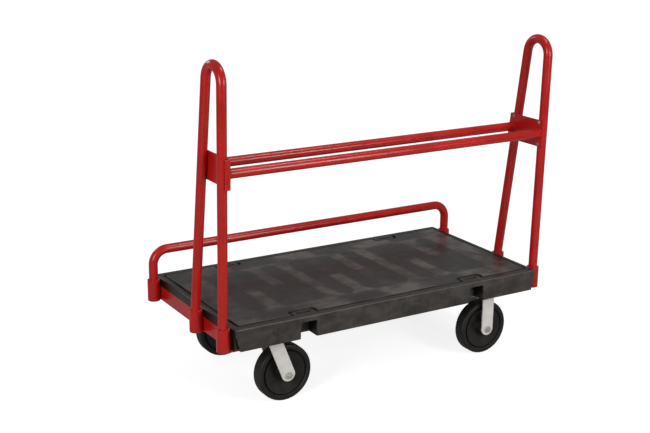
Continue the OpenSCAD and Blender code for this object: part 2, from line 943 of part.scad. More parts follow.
// A swivel fork with a round crown, the lower race ring on it and the kingpin's running bore
module swivel_fork(x, y) {
    color(zinc)
        translate([x, y, 0])
            difference() {
                union() {
                    bent_fork(crown_z, trail, crown_t);
                    translate([0, 0, crown_z - crown_t])
                        cylinder(r = crown_r, h = crown_t);
                    race_ring(crown_z - over, ball_z - race_gap / 2);
                }
                translate([0, 0, crown_z - crown_t - over])
                    cylinder(r = kingpin_r + run_fit, h = race_h);
            }
}

// A rigid fork: the bent fork welded under its own top plate
module rigid_fork(x, y) {
    color(zinc)
        translate([x, y, 0]) {
            top_plate();
            bent_fork(plate_z, 0, leg_t);
        }
}

// Wheels, each about its own axle at the origin, turning about Y

// Turns a profile drawn as radius and half width about the axle
module about_axle(x, y) {
    translate([x, y, axle_z])
        rotate([90, 0, 0])
            rotate_extrude($fn = 96)
                children();
}

module tyre(x, y) {
    color(wheel_black)
        about_axle(x, y)
            union() {
                translate([tyre_bore_r, -wheel_w / 2])
                    square([wheel_r - shoulder_r - tyre_bore_r, wheel_w]);
                translate([tyre_bore_r, -wheel_w / 2 + shoulder_r])
                    square([wheel_r - tyre_bore_r, wheel_w - 2 * shoulder_r]);
                for (s = [-1, 1])
                    translate([wheel_r - shoulder_r, s * (wheel_w / 2 - shoulder_r)])
                        circle(shoulder_r);
            }
}

// The dished core: a hub, a coned web and a rim inside the tyre
module core(x, y) {
    rim_half = wheel_w / 2 - rim_step;
    rim_r = tyre_bore_r - axle_fit;
    land_r = rim_r - rim_land;
    foot_r = hub_r + hub_foot;
    color(wheel_black)
        about_axle(x, y)
            polygon([
                [hub_bore_r, -hub_l / 2], [hub_r, -hub_l / 2], [foot_r, -web_t / 2],
                [land_r, -rim_half], [rim_r, -rim_half], [rim_r, rim_half],
                [land_r, rim_half], [foot_r, web_t / 2], [hub_r, hub_l / 2], [hub_bore_r, hub_l / 2]
            ]);
}

module rollers(x, y) {
    roller_l = hub_l - 2 * roller_setback;
    color(zinc)
        translate([x, y, axle_z])
            rotate([90, 0, 0])
                for (i = [0 : roller_count - 1])
                    rotate([0, 0, i * 360 / roller_count])
                        translate([roller_ring_r, 0, 0])
                            cylinder(r = roller_r, h = roller_l, center = true);
}

module sleeve(x, y) {
    color(zinc)
        translate([x, y, axle_z])
            rotate([90, 0, 0])
                difference() {
                    cylinder(r = sleeve_r, h = 2 * fork_half, center = true);
                    cylinder(r = axle_r + axle_fit, h = 2 * fork_half + 2 * over, center = true);
                }
}

// The axle bolt: its head is on the inner side of the cart and its nut on the outer
module axle(x, y, out) {
    color(zinc)
        translate([x, y, axle_z])
            rotate([out * 90, 0, 0]) {
                translate([0, 0, -fork_out - axle_head_h])
                    hexagon(axle_af, axle_head_h);
                translate([0, 0, -fork_out])
                    cylinder(r = axle_r, h = 2 * fork_out + axle_nut_h + axle_end);
            }
}

module axle_nut(x, y, out) {
    color(zinc)
        translate([x, y, axle_z])
            rotate([out * 90, 0, 0])
                translate([0, 0, fork_out])
                    difference() {
                        hexagon(axle_af, axle_nut_h);
                        translate([0, 0, -over])
                            cylinder(r = axle_r + axle_fit, h = axle_nut_h + 2 * over);
                    }
}

// Places of the four casters and wheels
left_x = -caster_x;
right_x = caster_x;
left_wheel_x = left_x + trail;
front_y = -caster_y;
rear_y = caster_y;
// An axle's nut faces the outer side of the cart
nut_front = 1;
nut_rear = -1;

// Sub-parts

module left_end_bar() { end_bar(left); }
module right_end_bar() { end_bar(right); }
module left_end_bolts() { end_bolts(left); }
module right_end_bolts() { end_bolts(right); }
module front_left_socket() { socket(left, -outer_y); }
module middle_left_socket() { socket(left, middle_y); }
module rear_left_socket() { socket(left, outer_y); }
module front_right_socket() { socket(right, -outer_y); }
module middle_right_socket() { socket(right, middle_y); }
module rear_right_socket() { socket(right, outer_y); }
module left_upright() { upright(left); }
module right_upright() { upright(right); }
module left_rack_bracket() { rack_bracket(left); }
module right_rack_bracket() { rack_bracket(right); }
module left_bracket_screws() { bracket_screws(left); }
module right_bracket_screws() { bracket_screws(right); }
module front_rack_bar() { rack_bar(front_bar_y); }
module rear_rack_bar() { rack_bar(rear_bar_y); }
module front_left_plate() { swivel_plate(left_x, front_y); }
module front_left_balls() { race_balls(left_x, front_y); }
module front_left_kingpin() { kingpin(left_x, front_y); }
module front_left_kingpin_nut() { kingpin_nut(left_x, front_y); }
module front_left_fork() { swivel_fork(left_x, front_y); }
module front_left_tyre() { tyre(left_wheel_x, front_y); }
module front_left_core() { core(left_wheel_x, front_y); }
module front_left_rollers() { rollers(left_wheel_x, front_y); }
module front_left_sleeve() { sleeve(left_wheel_x, front_y); }
module front_left_axle() { axle(left_wheel_x, front_y, nut_front); }
module front_left_axle_nut() { axle_nut(left_wheel_x, front_y, nut_front); }
module rear_left_plate() { swivel_plate(left_x, rear_y); }
module rear_left_balls() { race_balls(left_x, rear_y); }
module rear_left_kingpin() { kingpin(left_x, rear_y); }
module rear_left_kingpin_nut() { kingpin_nut(left_x, rear_y); }
module rear_left_fork() { swivel_fork(left_x, rear_y); }
module rear_left_tyre() { tyre(left_wheel_x, rear_y); }
module rear_left_core() { core(left_wheel_x, rear_y); }
module rear_left_rollers() { rollers(left_wheel_x, rear_y); }
module rear_left_sleeve() { sleeve(left_wheel_x, rear_y); }
module rear_left_axle() { axle(left_wheel_x, rear_y, nut_rear); }
module rear_left_axle_nut() { axle_nut(left_wheel_x, rear_y, nut_rear); }
module front_right_fork() { rigid_fork(right_x, front_y); }
module front_right_tyre() { tyre(right_x, front_y); }
module front_right_core() { core(right_x, front_y); }
module front_right_rollers() { rollers(right_x, front_y); }
module front_right_sleeve() { sleeve(right_x, front_y); }
module front_right_axle() { axle(right_x, front_y, nut_front); }
module front_right_axle_nut() { axle_nut(right_x, front_y, nut_front); }
module rear_right_fork() { rigid_fork(right_x, rear_y); }
module rear_right_tyre() { tyre(right_x, rear_y); }
module rear_right_core() { core(right_x, rear_y); }
module rear_right_rollers() { rollers(right_x, rear_y); }
module rear_right_sleeve() { sleeve(right_x, rear_y); }
module rear_right_axle() { axle(right_x, rear_y, nut_rear); }
module rear_right_axle_nut() { axle_nut(right_x, rear_y, nut_rear); }

deck();
left_end_bar();
right_end_bar();
left_end_bolts();
right_end_bolts();
front_left_socket();
middle_left_socket();
rear_left_socket();
front_right_socket();
middle_right_socket();
rear_right_socket();
left_upright();
right_upright();
left_rack_bracket();
right_rack_bracket();
left_bracket_screws();
right_bracket_screws();
front_rack_bar();
rear_rack_bar();
rear_rail();
caster_bolts();
front_left_plate();
front_left_balls();
front_left_kingpin();
front_left_kingpin_nut();
front_left_fork();
front_left_tyre();
front_left_core();
front_left_rollers();
front_left_sleeve();
front_left_axle();
front_left_axle_nut();
rear_left_plate();
rear_left_balls();
rear_left_kingpin();
rear_left_kingpin_nut();
rear_left_fork();
rear_left_tyre();
rear_left_core();
rear_left_rollers();
rear_left_sleeve();
rear_left_axle();
rear_left_axle_nut();
front_right_fork();
front_right_tyre();
front_right_core();
front_right_rollers();
front_right_sleeve();
front_right_axle();
front_right_axle_nut();
rear_right_fork();
rear_right_tyre();
rear_right_core();
rear_right_rollers();
rear_right_sleeve();
rear_right_axle();
rear_right_axle_nut();
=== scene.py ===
"""Looks of the panel cart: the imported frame's pieces are modelled again with soft edges, welds and
fastener detail, dressed with procedural finishes, and set on a pale studio floor. Bearings and
kingpins keep their solids.

Lengths are in metres. X runs along the cart, the rack stands at -Y and Z is up.
"""

import logging
import math
from dataclasses import dataclass
from enum import Enum
from functools import cache, reduce
from itertools import product
from typing import Callable, Iterable, Sequence

import bmesh
import bpy
from mathutils import Matrix, Vector


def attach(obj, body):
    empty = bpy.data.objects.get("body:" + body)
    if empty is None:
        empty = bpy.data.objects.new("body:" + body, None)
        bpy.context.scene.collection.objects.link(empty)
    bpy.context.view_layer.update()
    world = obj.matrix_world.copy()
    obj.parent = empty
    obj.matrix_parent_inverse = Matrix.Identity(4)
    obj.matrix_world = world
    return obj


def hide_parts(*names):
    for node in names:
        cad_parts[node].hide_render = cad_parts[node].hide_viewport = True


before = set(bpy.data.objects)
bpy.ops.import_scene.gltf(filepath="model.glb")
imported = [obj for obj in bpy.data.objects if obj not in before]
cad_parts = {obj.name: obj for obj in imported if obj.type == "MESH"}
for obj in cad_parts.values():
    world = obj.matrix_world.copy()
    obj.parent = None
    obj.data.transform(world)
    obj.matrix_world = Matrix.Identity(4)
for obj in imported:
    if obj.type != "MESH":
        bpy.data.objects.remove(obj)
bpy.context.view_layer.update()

LOG = logging.getLogger("panel_cart")

Colour = tuple[float, float, float]
Point = tuple[float, float, float]
Profile = list[tuple[float, float]]
Range = tuple[float, ...]
Socket = bpy.types.NodeSocket
Surface = tuple[Socket, Socket, Socket]

IMAGE_WIDTH = 650
FULL_TURN = 2 * math.pi
QUARTER_TURN = math.pi / 2
SMOOTH_ANGLE = math.radians(32)
SHARP_ANGLE = math.radians(50)
FLAT_ANGLE = math.radians(0.5)
EDGE_LAYER = "edge"
CART = "cart"
WHITE = (1.0, 1.0, 1.0)

# Sizes that several sub-assemblies share
TUBE_R = 0.0167
SOCKET_X = 0.660
SOCKET_YS = {"front": -0.285, "middle": -0.076, "rear": 0.285}
SEAT_Z = 0.251
CASTER_X = 0.459
CASTER_Y = 0.232

# Ends of ramps: where most of a noise lies, a face square to an axis, and a sloping face
NOISE_SPREAD = (0.3, 0.7)
SQUARE_ON = (0.55, 0.9)
SLOPING = (0.2, 0.45)


class Turn(Enum):
    """The directions in which turned profiles stand and tubes run."""

    UP = (0.0, 0.0, 1.0)
    TO_FRONT = (0.0, -1.0, 0.0)
    TO_REAR = (0.0, 1.0, 0.0)
    TO_LEFT = (-1.0, 0.0, 0.0)
    TO_RIGHT = (1.0, 0.0, 0.0)

    def matrix(self, place: Point) -> Matrix:
        """Returns the transform that stands a profile's +Z along this direction at place."""
        return Matrix.Translation(place) @ upright_turn(Vector(self.value))


class End(Enum):
    """The two ends of the cart, by the sign of X."""

    LEFT = -1
    RIGHT = 1

    @property
    def word(self) -> str:
        """The end's name, as the names of pieces have it."""
        return self.name.lower()

    @property
    def inward(self) -> Turn:
        """The direction from this end to the middle of the cart."""
        return Turn.TO_RIGHT if self is End.LEFT else Turn.TO_LEFT


class Row(Enum):
    """The two long sides of the cart, by the sign of Y."""

    FRONT = -1
    REAR = 1

    @property
    def word(self) -> str:
        """The row's name, as the names of pieces have it."""
        return self.name.lower()

    @property
    def outward(self) -> Turn:
        """The direction from the middle of the cart to this row."""
        return Turn.TO_FRONT if self is Row.FRONT else Turn.TO_REAR


class Slot(Enum):
    """The material slots."""

    DECK = "deck_plastic"
    PAINT = "red_paint"
    ZINC = "zinc_steel"
    BEARING = "bearing_steel"
    TYRE = "tyre_rubber"
    CORE = "wheel_core"


class Rounding(Enum):
    """How sharp edges are rounded: the width, and the length that an edge has to pass."""

    ANGLE_BAR = (0.0009, 0.004)
    CHANNEL = (0.0009, 0.0035)
    PRESSING = (0.0007, 0.0012)
    NUT = (0.0006, 0.004)


class Blend(Enum):
    """What a mix is made of, by Blender's names."""

    COLOURS = "RGBA"
    VALUES = "FLOAT"


def upright_turn(along: Vector) -> Matrix:
    """Returns the turn that brings +Z along a direction."""
    return along.to_track_quat("Z", "Y").to_matrix().to_4x4()


def rgba(colour: Colour) -> tuple[float, float, float, float]:
    """Returns a colour with full alpha."""
    return (*colour, 1.0)


def unique(items: Iterable) -> list:
    """Returns the items in their order, each of them once."""
    return list(dict.fromkeys(items))


def mirrored(half: Profile, middle: Profile) -> Profile:
    """Returns a closed profile from its +Z half and the points between the halves."""
    whole = half + middle + [(radius, -height) for radius, height in reversed(half)]
    return whole + whole[:1]


# Node groups and materials


class Graph:
    """A small helper that adds and links nodes in one node tree."""

    def __init__(self, tree: bpy.types.NodeTree) -> None:
        """Keeps the tree that the nodes go into."""
        self.tree = tree

    def feed(self, socket: Socket, value: object) -> None:
        """Links a socket to another, or sets its value.

        Args:
            socket: The input socket.
            value: An output socket, or a plain value.
        """
        if isinstance(value, Socket):
            self.tree.links.new(value, socket)
        else:
            socket.default_value = value

    def node(self, kind: str, inputs: dict | None = None, **settings: object) -> bpy.types.Node:
        """Adds a node.

        Args:
            kind: The node's type name.
            inputs: What feeds its inputs, by their names or numbers.
            **settings: Attributes to set on it.

        Returns:
            The new node.
        """
        made = self.tree.nodes.new(kind)
        for key, value in settings.items():
            setattr(made, key, value)
        for key, value in (inputs or {}).items():
            self.feed(made.inputs[key], value)
        return made

    def math(self, operation: str, a: object, b: object = 0.0, clamp: bool = False) -> Socket:
        """Returns the result of a Math node on a and b."""
        return self.node("ShaderNodeMath", {0: a, 1: b}, operation=operation, use_clamp=clamp).outputs[0]

    def times(self, *values: object) -> Socket:
        """Returns the product of the values."""
        return reduce(lambda a, b: self.math("MULTIPLY", a, b), values)

    def plus(self, *values: object) -> Socket:
        """Returns the sum of the values."""
        return reduce(lambda a, b: self.math("ADD", a, b), values)

    def noise(self, vector: Socket, scale: object, detail: float, rough: float) -> Socket:
        """Returns a noise value between 0 and 1 over vector."""
        inputs = {"Vector": vector, "Scale": scale, "Detail": detail, "Roughness": rough}
        return self.node("ShaderNodeTexNoise", inputs).outputs["Fac"]

    def ramp(self, value: Socket, low: float, high: float, start: float = 0.0, end: float = 1.0) -> Socket:
        """Returns value mapped smoothly from low..high to start..end, held at both ends."""
        inputs = {"Value": value, "From Min": low, "From Max": high, "To Min": start, "To Max": end}
        return self.node("ShaderNodeMapRange", inputs, interpolation_type="SMOOTHSTEP").outputs["Result"]

    def mix(self, factor: Socket, a: object, b: object, kind: Blend = Blend.COLOURS) -> Socket:
        """Returns a mixed with b by factor."""
        inputs = {"Factor": factor, "A": a, "B": b}
        return self.node("ShaderNodeMix", inputs, data_type=kind.value).outputs["Result"]

    def parts(self, vector: Socket) -> bpy.types.NodeOutputs:
        """Returns the X, Y and Z outputs of a split vector."""
        return self.node("ShaderNodeSeparateXYZ", {0: vector}).outputs

    def length(self, a: Socket, b: Socket) -> Socket:
        """Returns the length of the vector (a, b)."""
        joined = self.node("ShaderNodeCombineXYZ", {0: a, 1: b}).outputs[0]
        return self.node("ShaderNodeVectorMath", {0: joined}, operation="LENGTH").outputs["Value"]

    def to_row(self, value: Socket, first: float, pitch: float) -> Socket:
        """Returns the distance to the nearest point of an even row."""
        return self.math("PINGPONG", self.math("SUBTRACT", value, first), pitch / 2)

    def facing(self) -> bpy.types.NodeOutputs:
        """Returns the X, Y and Z parts of the surface's direction."""
        return self.parts(self.node("ShaderNodeNewGeometry").outputs["Normal"])


def open_group(name: str, inputs: Sequence[str], outputs: Sequence[str]) -> tuple[Graph, dict, dict]:
    """Starts a shader node group that several finishes share.

    Args:
        name: The group's name.
        inputs: The names of its inputs besides the Vector.
        outputs: The names of its outputs.

    Returns:
        The group's graph, the sockets to read from and the sockets to feed.
    """
    tree = bpy.data.node_groups.new(name, "ShaderNodeTree")
    tree.interface.new_socket("Vector", in_out="INPUT", socket_type="NodeSocketVector")
    for socket in inputs:
        tree.interface.new_socket(socket, in_out="INPUT", socket_type="NodeSocketFloat")
    for socket in outputs:
        tree.interface.new_socket(socket, in_out="OUTPUT", socket_type="NodeSocketFloat")
    graph = Graph(tree)
    return graph, graph.node("NodeGroupInput").outputs, graph.node("NodeGroupOutput").inputs


@cache
def edge_wear_group() -> bpy.types.NodeTree:
    """Builds the group that breaks up the edge mask into worn spots.

    Returns:
        The group.
    """
    graph, source, target = open_group("edge_wear", ("Edge", "Scale"), ("Mask",))
    spots = graph.noise(source["Vector"], source["Scale"], detail=5.0, rough=0.65)
    graph.feed(target["Mask"], graph.times(graph.ramp(spots, low=0.42, high=0.62), source["Edge"]))
    return graph.tree


@cache
def grain_group() -> bpy.types.NodeTree:
    """Builds the group with a fine grain height and a broad mottle.

    Returns:
        The group.
    """
    graph, source, target = open_group("grain", ("Fine", "Broad"), ("Height", "Mottle"))
    graph.feed(target["Height"], graph.noise(source["Vector"], source["Fine"], detail=3.0, rough=0.6))
    graph.feed(target["Mottle"], graph.noise(source["Vector"], source["Broad"], detail=5.0, rough=0.6))
    return graph.tree


class SurfaceGraph(Graph):
    """A material's graph, with the object coordinates and the grain at hand."""

    def __init__(self, tree: bpy.types.NodeTree, fine: float, broad: float) -> None:
        """Adds the object coordinates and the grain.

        Args:
            tree: The material's node tree.
            fine: The scale of the grain's height.
            broad: The scale of its mottle.
        """
        super().__init__(tree)
        self.place = self.node("ShaderNodeTexCoord").outputs["Object"]
        scales = {"Vector": self.place, "Fine": fine, "Broad": broad}
        grain = self.node("ShaderNodeGroup", scales, node_tree=grain_group()).outputs
        self.height = grain["Height"]
        self.mottle = grain["Mottle"]

    def edge(self) -> Socket:
        """Returns the piece's own edge mask."""
        return self.node("ShaderNodeAttribute", attribute_name=EDGE_LAYER).outputs["Fac"]

    def worn(self, scale: float) -> Socket:
        """Returns the mask of the worn spots on the piece's edges."""
        inputs = {"Vector": self.place, "Edge": self.edge(), "Scale": scale}
        return self.node("ShaderNodeGroup", inputs, node_tree=edge_wear_group()).outputs["Mask"]


@dataclass(frozen=True)
class Pattern:
    """A noise over the object coordinates, scaled along each axis."""

    scale: tuple[float, float, float]
    detail: float
    rough: float

    def over(self, graph: SurfaceGraph) -> Socket:
        """Returns the noise, from 0 to 1."""
        scaled = graph.node("ShaderNodeMapping", {"Vector": graph.place, "Scale": self.scale})
        return graph.noise(scaled.outputs["Vector"], 1.0, self.detail, self.rough)


@dataclass(frozen=True)
class LightRow:
    """An even row of painted sheen spots along X on the load panel."""

    first: float
    near: float
    far: float
    level: float

    def over(self, graph: Graph, x: Socket, pitch: float) -> Socket:
        """Returns the row's painted sheen: its level as far as near from a spot's middle, and 0 past far."""
        return graph.ramp(graph.to_row(x, self.first, pitch), self.near, self.far, self.level, 0.0)


@dataclass(frozen=True)
class Finish:
    """What every finish has: a name, a slot, two colours, plain values and a way to build its material."""

    name: str
    slot: Slot
    colour: Colour
    cloud: Colour
    rough: float
    gloss: float = 0.5
    metal: float = 0.0
    fine: float = 900.0
    broad: float = 22.0
    bump: Range = (0.12, 0.0003)
    rough_spread: Range = (-0.06, 0.1)
    cloud_spread: Range = (0.4, 0.7)

    @cache
    def material(self) -> bpy.types.Material:
        """Builds the finish's material the first time it is asked for.

        Returns:
            The material.
        """
        made = bpy.data.materials.new(self.name)
        made.use_nodes = True
        made.node_tree.nodes.clear()
        graph = SurfaceGraph(made.node_tree, self.fine, self.broad)
        colour, rough, height = self.surface(graph)
        strength, depth = self.bump
        relief = graph.node("ShaderNodeBump", {"Strength": strength, "Distance": depth, "Height": height})
        sockets = {
            "Base Color": colour,
            "Roughness": rough,
            "Metallic": self.metal,
            "Specular IOR Level": self.gloss,
            "Normal": relief.outputs["Normal"],
        }
        shader = graph.node("ShaderNodeBsdfPrincipled", sockets)
        graph.node("ShaderNodeOutputMaterial", {"Surface": shader.outputs["BSDF"]})
        return made

    def surface(self, graph: SurfaceGraph) -> Surface:
        """Builds the finish's own nodes: its colour and clouds, where a finish has no more.

        Args:
            graph: The material's graph.

        Returns:
            The colour, the roughness and the height for the bump.
        """
        return self.clouded(graph), self.roughness(graph, graph.mottle), graph.height

    def clouded(self, graph: SurfaceGraph, share: object = 1.0) -> Socket:
        """Returns the colour with a share of the clouds over it."""
        clouds = graph.times(graph.ramp(graph.mottle, *self.cloud_spread), share)
        return graph.mix(clouds, rgba(self.colour), rgba(self.cloud))

    def roughness(self, graph: SurfaceGraph, mottle: Socket) -> Socket:
        """Returns the roughness, varied by a mottle."""
        low, high = self.rough_spread
        return graph.ramp(mottle, *NOISE_SPREAD, self.rough + low, self.rough + high)


@dataclass(frozen=True)
class MouldedDeck(Finish):
    """Dark moulded plastic: streaked skirts, worn edges, painted sheen on the panel in the pattern of its
    ribs, a painted highlight on the rounded top edges, and painted shade on the ends.
    """

    gloss: float = 0.34
    bump: Range = (0.4, 0.0006)
    rough_spread: Range = (0.06, -0.04)
    side_rough: float = 0.55
    grain_share: float = 0.12
    # How far each kind of face is lightened towards the second colour: painted sheen on the panel, scuffs
    # and painted sheen on the rim top, worn edges that also carry a painted edge highlight, and a painted
    # highlight on the lip faces.
    panel_sheen_share: float = 0.86
    rim_scuff_and_sheen: float = 0.14
    wear_and_edge_highlight: float = 0.42
    lip_highlight: float = 0.45
    wear_scale: float = 45.0
    panel_z: Range = (0.3284, 0.3292)
    rim_z: Range = (0.3262, 0.3275)
    streaks: Pattern = Pattern((130.0, 130.0, 14.0), 6.0, 0.7)
    blotches: Pattern = Pattern((11.0, 11.0, 22.0), 5.0, 0.6)
    brushing: Pattern = Pattern((22.0, 90.0, 22.0), 5.0, 0.65)
    clouds: Pattern = Pattern((5.0, 9.0, 5.0), 7.0, 0.62)
    smudges: Pattern = Pattern((17.0, 17.0, 17.0), 5.0, 0.6)
    streak_tone: Range = (0.3, 0.75, 0.03, 0.2)
    blotch_tone: Range = (0.35, 0.7, 0.04, 0.42)
    brush_tone: Range = (0.3, 0.7, 0.7, 1.15)
    cloud_tone: Range = (0.3, 0.62, 0.4, 1.1)
    scuff_tone: Range = (0.42, 0.72, 0.4, 1.0)
    smudge_tone: Range = (0.36, 0.64, 0.45, 1.3)
    cell_pitch: float = 0.1185
    weave_cells: int = 3
    cell_w: float = 0.068
    cell_l: float = 0.410
    cell_blur: Range = (-0.009, 0.011)
    cells_end_x: Range = (0.505, 0.52)
    rows_meet_y: Range = (-0.013, 0.013)
    border_y: Range = (0.2, 0.228)
    front_bands: LightRow = LightRow(0.296, 0.04, 0.056, 1.0)
    shared_bands: LightRow = LightRow(0.178, 0.04, 0.056, 0.7)
    front_patches: LightRow = LightRow(0.089, 0.07, 0.12, 1.0)
    rear_patches: LightRow = LightRow(0.267, 0.05, 0.1, 1.6)
    row_light: float = 0.9
    least_light: float = 0.1
    light_along_x: Range = (-0.6, 0.1, 0.5, 1.05)

    def painted_rib_sheen(self, graph: SurfaceGraph) -> Socket:
        """Works out the painted sheen on the panel: dark over the rib cells, light in bands and border
        patches.

        Args:
            graph: The material's graph.

        Returns:
            The painted sheen, from 0 upwards.
        """
        across = graph.parts(graph.place)
        along = across["X"]
        weave = self.weave_cells * self.cell_pitch
        aside = graph.math("ABSOLUTE", across["Y"])
        past_end = graph.math("SUBTRACT", aside, (self.cell_l - self.cell_w) / 2)
        past_end = graph.math("MAXIMUM", past_end, 0.0)
        from_cell = graph.length(graph.to_row(along, 0.0, self.cell_pitch), past_end)
        between = graph.ramp(from_cell, *(self.cell_w / 2 + blur for blur in self.cell_blur))
        past_cells = graph.ramp(graph.math("ABSOLUTE", along), *self.cells_end_x)
        between = graph.math("MAXIMUM", between, past_cells)
        rear = graph.ramp(across["Y"], *self.rows_meet_y)
        front_band = self.front_bands.over(graph, along, weave)
        rear_band = graph.math("SUBTRACT", 1.0, front_band)
        front_band = graph.math("MAXIMUM", front_band, self.shared_bands.over(graph, along, weave))
        band = graph.mix(rear, front_band, rear_band, Blend.VALUES)
        front_patch = self.front_patches.over(graph, along, weave)
        patch = graph.mix(rear, front_patch, self.rear_patches.over(graph, along, weave), Blend.VALUES)
        light = graph.mix(graph.ramp(aside, *self.border_y), band, patch, Blend.VALUES)
        light = graph.plus(graph.times(light, self.row_light), self.least_light)
        return graph.times(light, graph.ramp(along, *self.light_along_x), between)

    def surface(self, graph: SurfaceGraph) -> Surface:
        """Builds the nodes of the moulded plastic.

        Args:
            graph: The material's graph.

        Returns:
            The colour, the roughness and the height for the bump.
        """
        facing = graph.facing()
        aside = graph.math("ABSOLUTE", facing["Y"])
        top = graph.ramp(facing["Z"], *SQUARE_ON)
        side = graph.ramp(aside, *SQUARE_ON)
        # The lip faces slope between up and the front or rear: the rounded top edges, painted lighter as a
        # highlight.
        lip = graph.times(graph.ramp(facing["Z"], *SLOPING), graph.ramp(aside, *SLOPING))
        height_z = graph.parts(graph.place)["Z"]
        # Only up-facing faces of the panel and the rim take the painted sheen.
        on_panel = graph.times(top, graph.ramp(height_z, *self.panel_z))
        on_rim = graph.times(top, graph.ramp(height_z, *self.rim_z))
        streaks = self.streaks.over(graph)
        clouds = self.clouds.over(graph)
        smudges = self.smudges.over(graph)
        panel_sheen = graph.times(
            self.painted_rib_sheen(graph),
            graph.ramp(clouds, *self.cloud_tone),
            graph.ramp(self.brushing.over(graph), *self.brush_tone),
            graph.ramp(smudges, *self.smudge_tone),
        )
        # Lightening towards the second colour: painted sheen on the panel and on the scuffed rim top, worn
        # edges that also stand for the edge highlight, and a painted highlight on the lip faces.
        painted_sheen_wear_and_streaks = graph.plus(
            graph.times(panel_sheen, on_panel, self.panel_sheen_share),
            graph.times(graph.ramp(clouds, *self.scuff_tone), on_rim, self.rim_scuff_and_sheen),
            graph.times(graph.worn(self.wear_scale), self.wear_and_edge_highlight),
            graph.times(lip, self.lip_highlight),
        )
        # The skirt's streaks and blotches go only on faces square to Y, so the ends that face X stay darker
        # as painted shade.
        blotches = graph.ramp(self.blotches.over(graph), *self.blotch_tone)
        skirt = graph.plus(graph.ramp(streaks, *self.streak_tone), blotches)
        painted_sheen_wear_and_streaks = graph.math("ADD", painted_sheen_wear_and_streaks, graph.times(skirt, side), clamp=True)
        colour = graph.mix(painted_sheen_wear_and_streaks, rgba(self.colour), rgba(self.cloud))
        dulled = graph.times(side, self.side_rough - self.rough)
        rough = graph.plus(self.roughness(graph, smudges), dulled)
        height = graph.plus(graph.times(streaks, side), graph.times(graph.height, self.grain_share))
        return colour, rough, height


@dataclass(frozen=True)
class PowderCoat(Finish):
    """Glossy red powder coat with a fine ripple, thin dust and chipped edges."""

    gloss: float = 0.36
    fine: float = 120.0
    broad: float = 9.0
    bump: Range = (0.01, 0.0003)
    rough_spread: Range = (-0.04, 0.05)
    cloud_spread: Range = (0.35, 0.65, 1.0, 0.0)
    chip: Colour = (0.12, 0.035, 0.03)
    chip_share: float = 0.35
    wear_scale: float = 90.0
    dust: Colour = (0.5, 0.12, 0.1)
    dust_share: float = 0.05
    dust_rough: float = 0.08
    dust_clouds: Pattern = Pattern((14.0, 14.0, 14.0), 6.0, 0.6)
    dust_spread: Range = (0.4, 0.72)
    dust_facing: Range = (0.2, 0.9)

    def surface(self, graph: SurfaceGraph) -> Surface:
        """Builds the nodes of the powder coat.

        Args:
            graph: The material's graph.

        Returns:
            The colour, the roughness and the height for the bump.
        """
        cloud = graph.ramp(self.dust_clouds.over(graph), *self.dust_spread)
        dusty = graph.times(cloud, graph.ramp(graph.facing()["Z"], *self.dust_facing))
        colour = graph.mix(graph.times(dusty, self.dust_share), self.clouded(graph), rgba(self.dust))
        chipped = graph.times(graph.worn(self.wear_scale), self.chip_share)
        colour = graph.mix(chipped, colour, rgba(self.chip))
        rough = graph.plus(self.roughness(graph, graph.mottle), graph.times(dusty, self.dust_rough))
        return colour, rough, graph.height


@dataclass(frozen=True)
class ZincPlate(Finish):
    """Zinc plated pressed steel with cloudy passivation and light scratches."""

    metal: float = 0.3
    fine: float = 700.0
    broad: float = 26.0
    bump: Range = (0.12, 0.0002)
    rough_spread: Range = (-0.07, 0.1)
    cloud_spread: Range = (0.4, 0.68)
    scratches: Pattern = Pattern((420.0, 420.0, 22.0), 3.0, 0.7)
    scratch_spread: Range = (0.56, 0.68)
    scratch_polish: float = 0.08

    def surface(self, graph: SurfaceGraph) -> Surface:
        """Builds the nodes of the plated steel.

        Args:
            graph: The material's graph.

        Returns:
            The colour, the roughness and the height for the bump.
        """
        scratched = graph.ramp(self.scratches.over(graph), *self.scratch_spread)
        polished = graph.times(scratched, self.scratch_polish)
        rough = graph.math("SUBTRACT", self.roughness(graph, graph.mottle), polished)
        return self.clouded(graph), rough, graph.plus(graph.height, scratched)


@dataclass(frozen=True)
class TyreRubber(Finish):
    """Matte black rubber with floor dust worked into the tread, and the inner lip lightened as dust and a
    painted highlight.
    """

    gloss: float = 0.3
    fine: float = 650.0
    broad: float = 30.0
    bump: Range = (0.25, 0.0004)
    cloud_spread: Range = (0.38, 0.7)
    dust_all_over: float = 0.06
    tread_dust_and_lip_highlight: float = 0.25

    def surface(self, graph: SurfaceGraph) -> Surface:
        """Builds the nodes of the rubber.

        Args:
            graph: The material's graph.

        Returns:
            The colour, the roughness and the height for the bump.
        """
        # The marked faces are the tread, with dust, and the inner lip, with dust and a painted highlight.
        share = graph.plus(self.dust_all_over, graph.times(graph.edge(), self.tread_dust_and_lip_highlight))
        return self.clouded(graph, share), self.roughness(graph, graph.mottle), graph.height


@dataclass(frozen=True)
class MouldedCore(Finish):
    """Satin black moulded plastic, with painted shade in the seam groove at its rim, which is also rougher.
    """

    gloss: float = 0.25
    fine: float = 800.0
    rough_spread: Range = (-0.06, 0.08)
    cloud_spread: Range = (0.42, 0.75, 0.0, 0.7)
    # The colour of the painted shade in the seam groove.
    seam: Colour = (0.002, 0.002, 0.002)
    seam_rough: float = 0.9

    def surface(self, graph: SurfaceGraph) -> Surface:
        """Builds the nodes of the wheel core.

        Args:
            graph: The material's graph.

        Returns:
            The colour, the roughness and the height for the bump.
        """
        # The marked seam faces take the painted shade and a high roughness.
        seam = graph.edge()
        colour = graph.mix(seam, self.clouded(graph), rgba(self.seam))
        rough = graph.mix(seam, self.roughness(graph, graph.mottle), self.seam_rough, Blend.VALUES)
        return colour, rough, graph.height


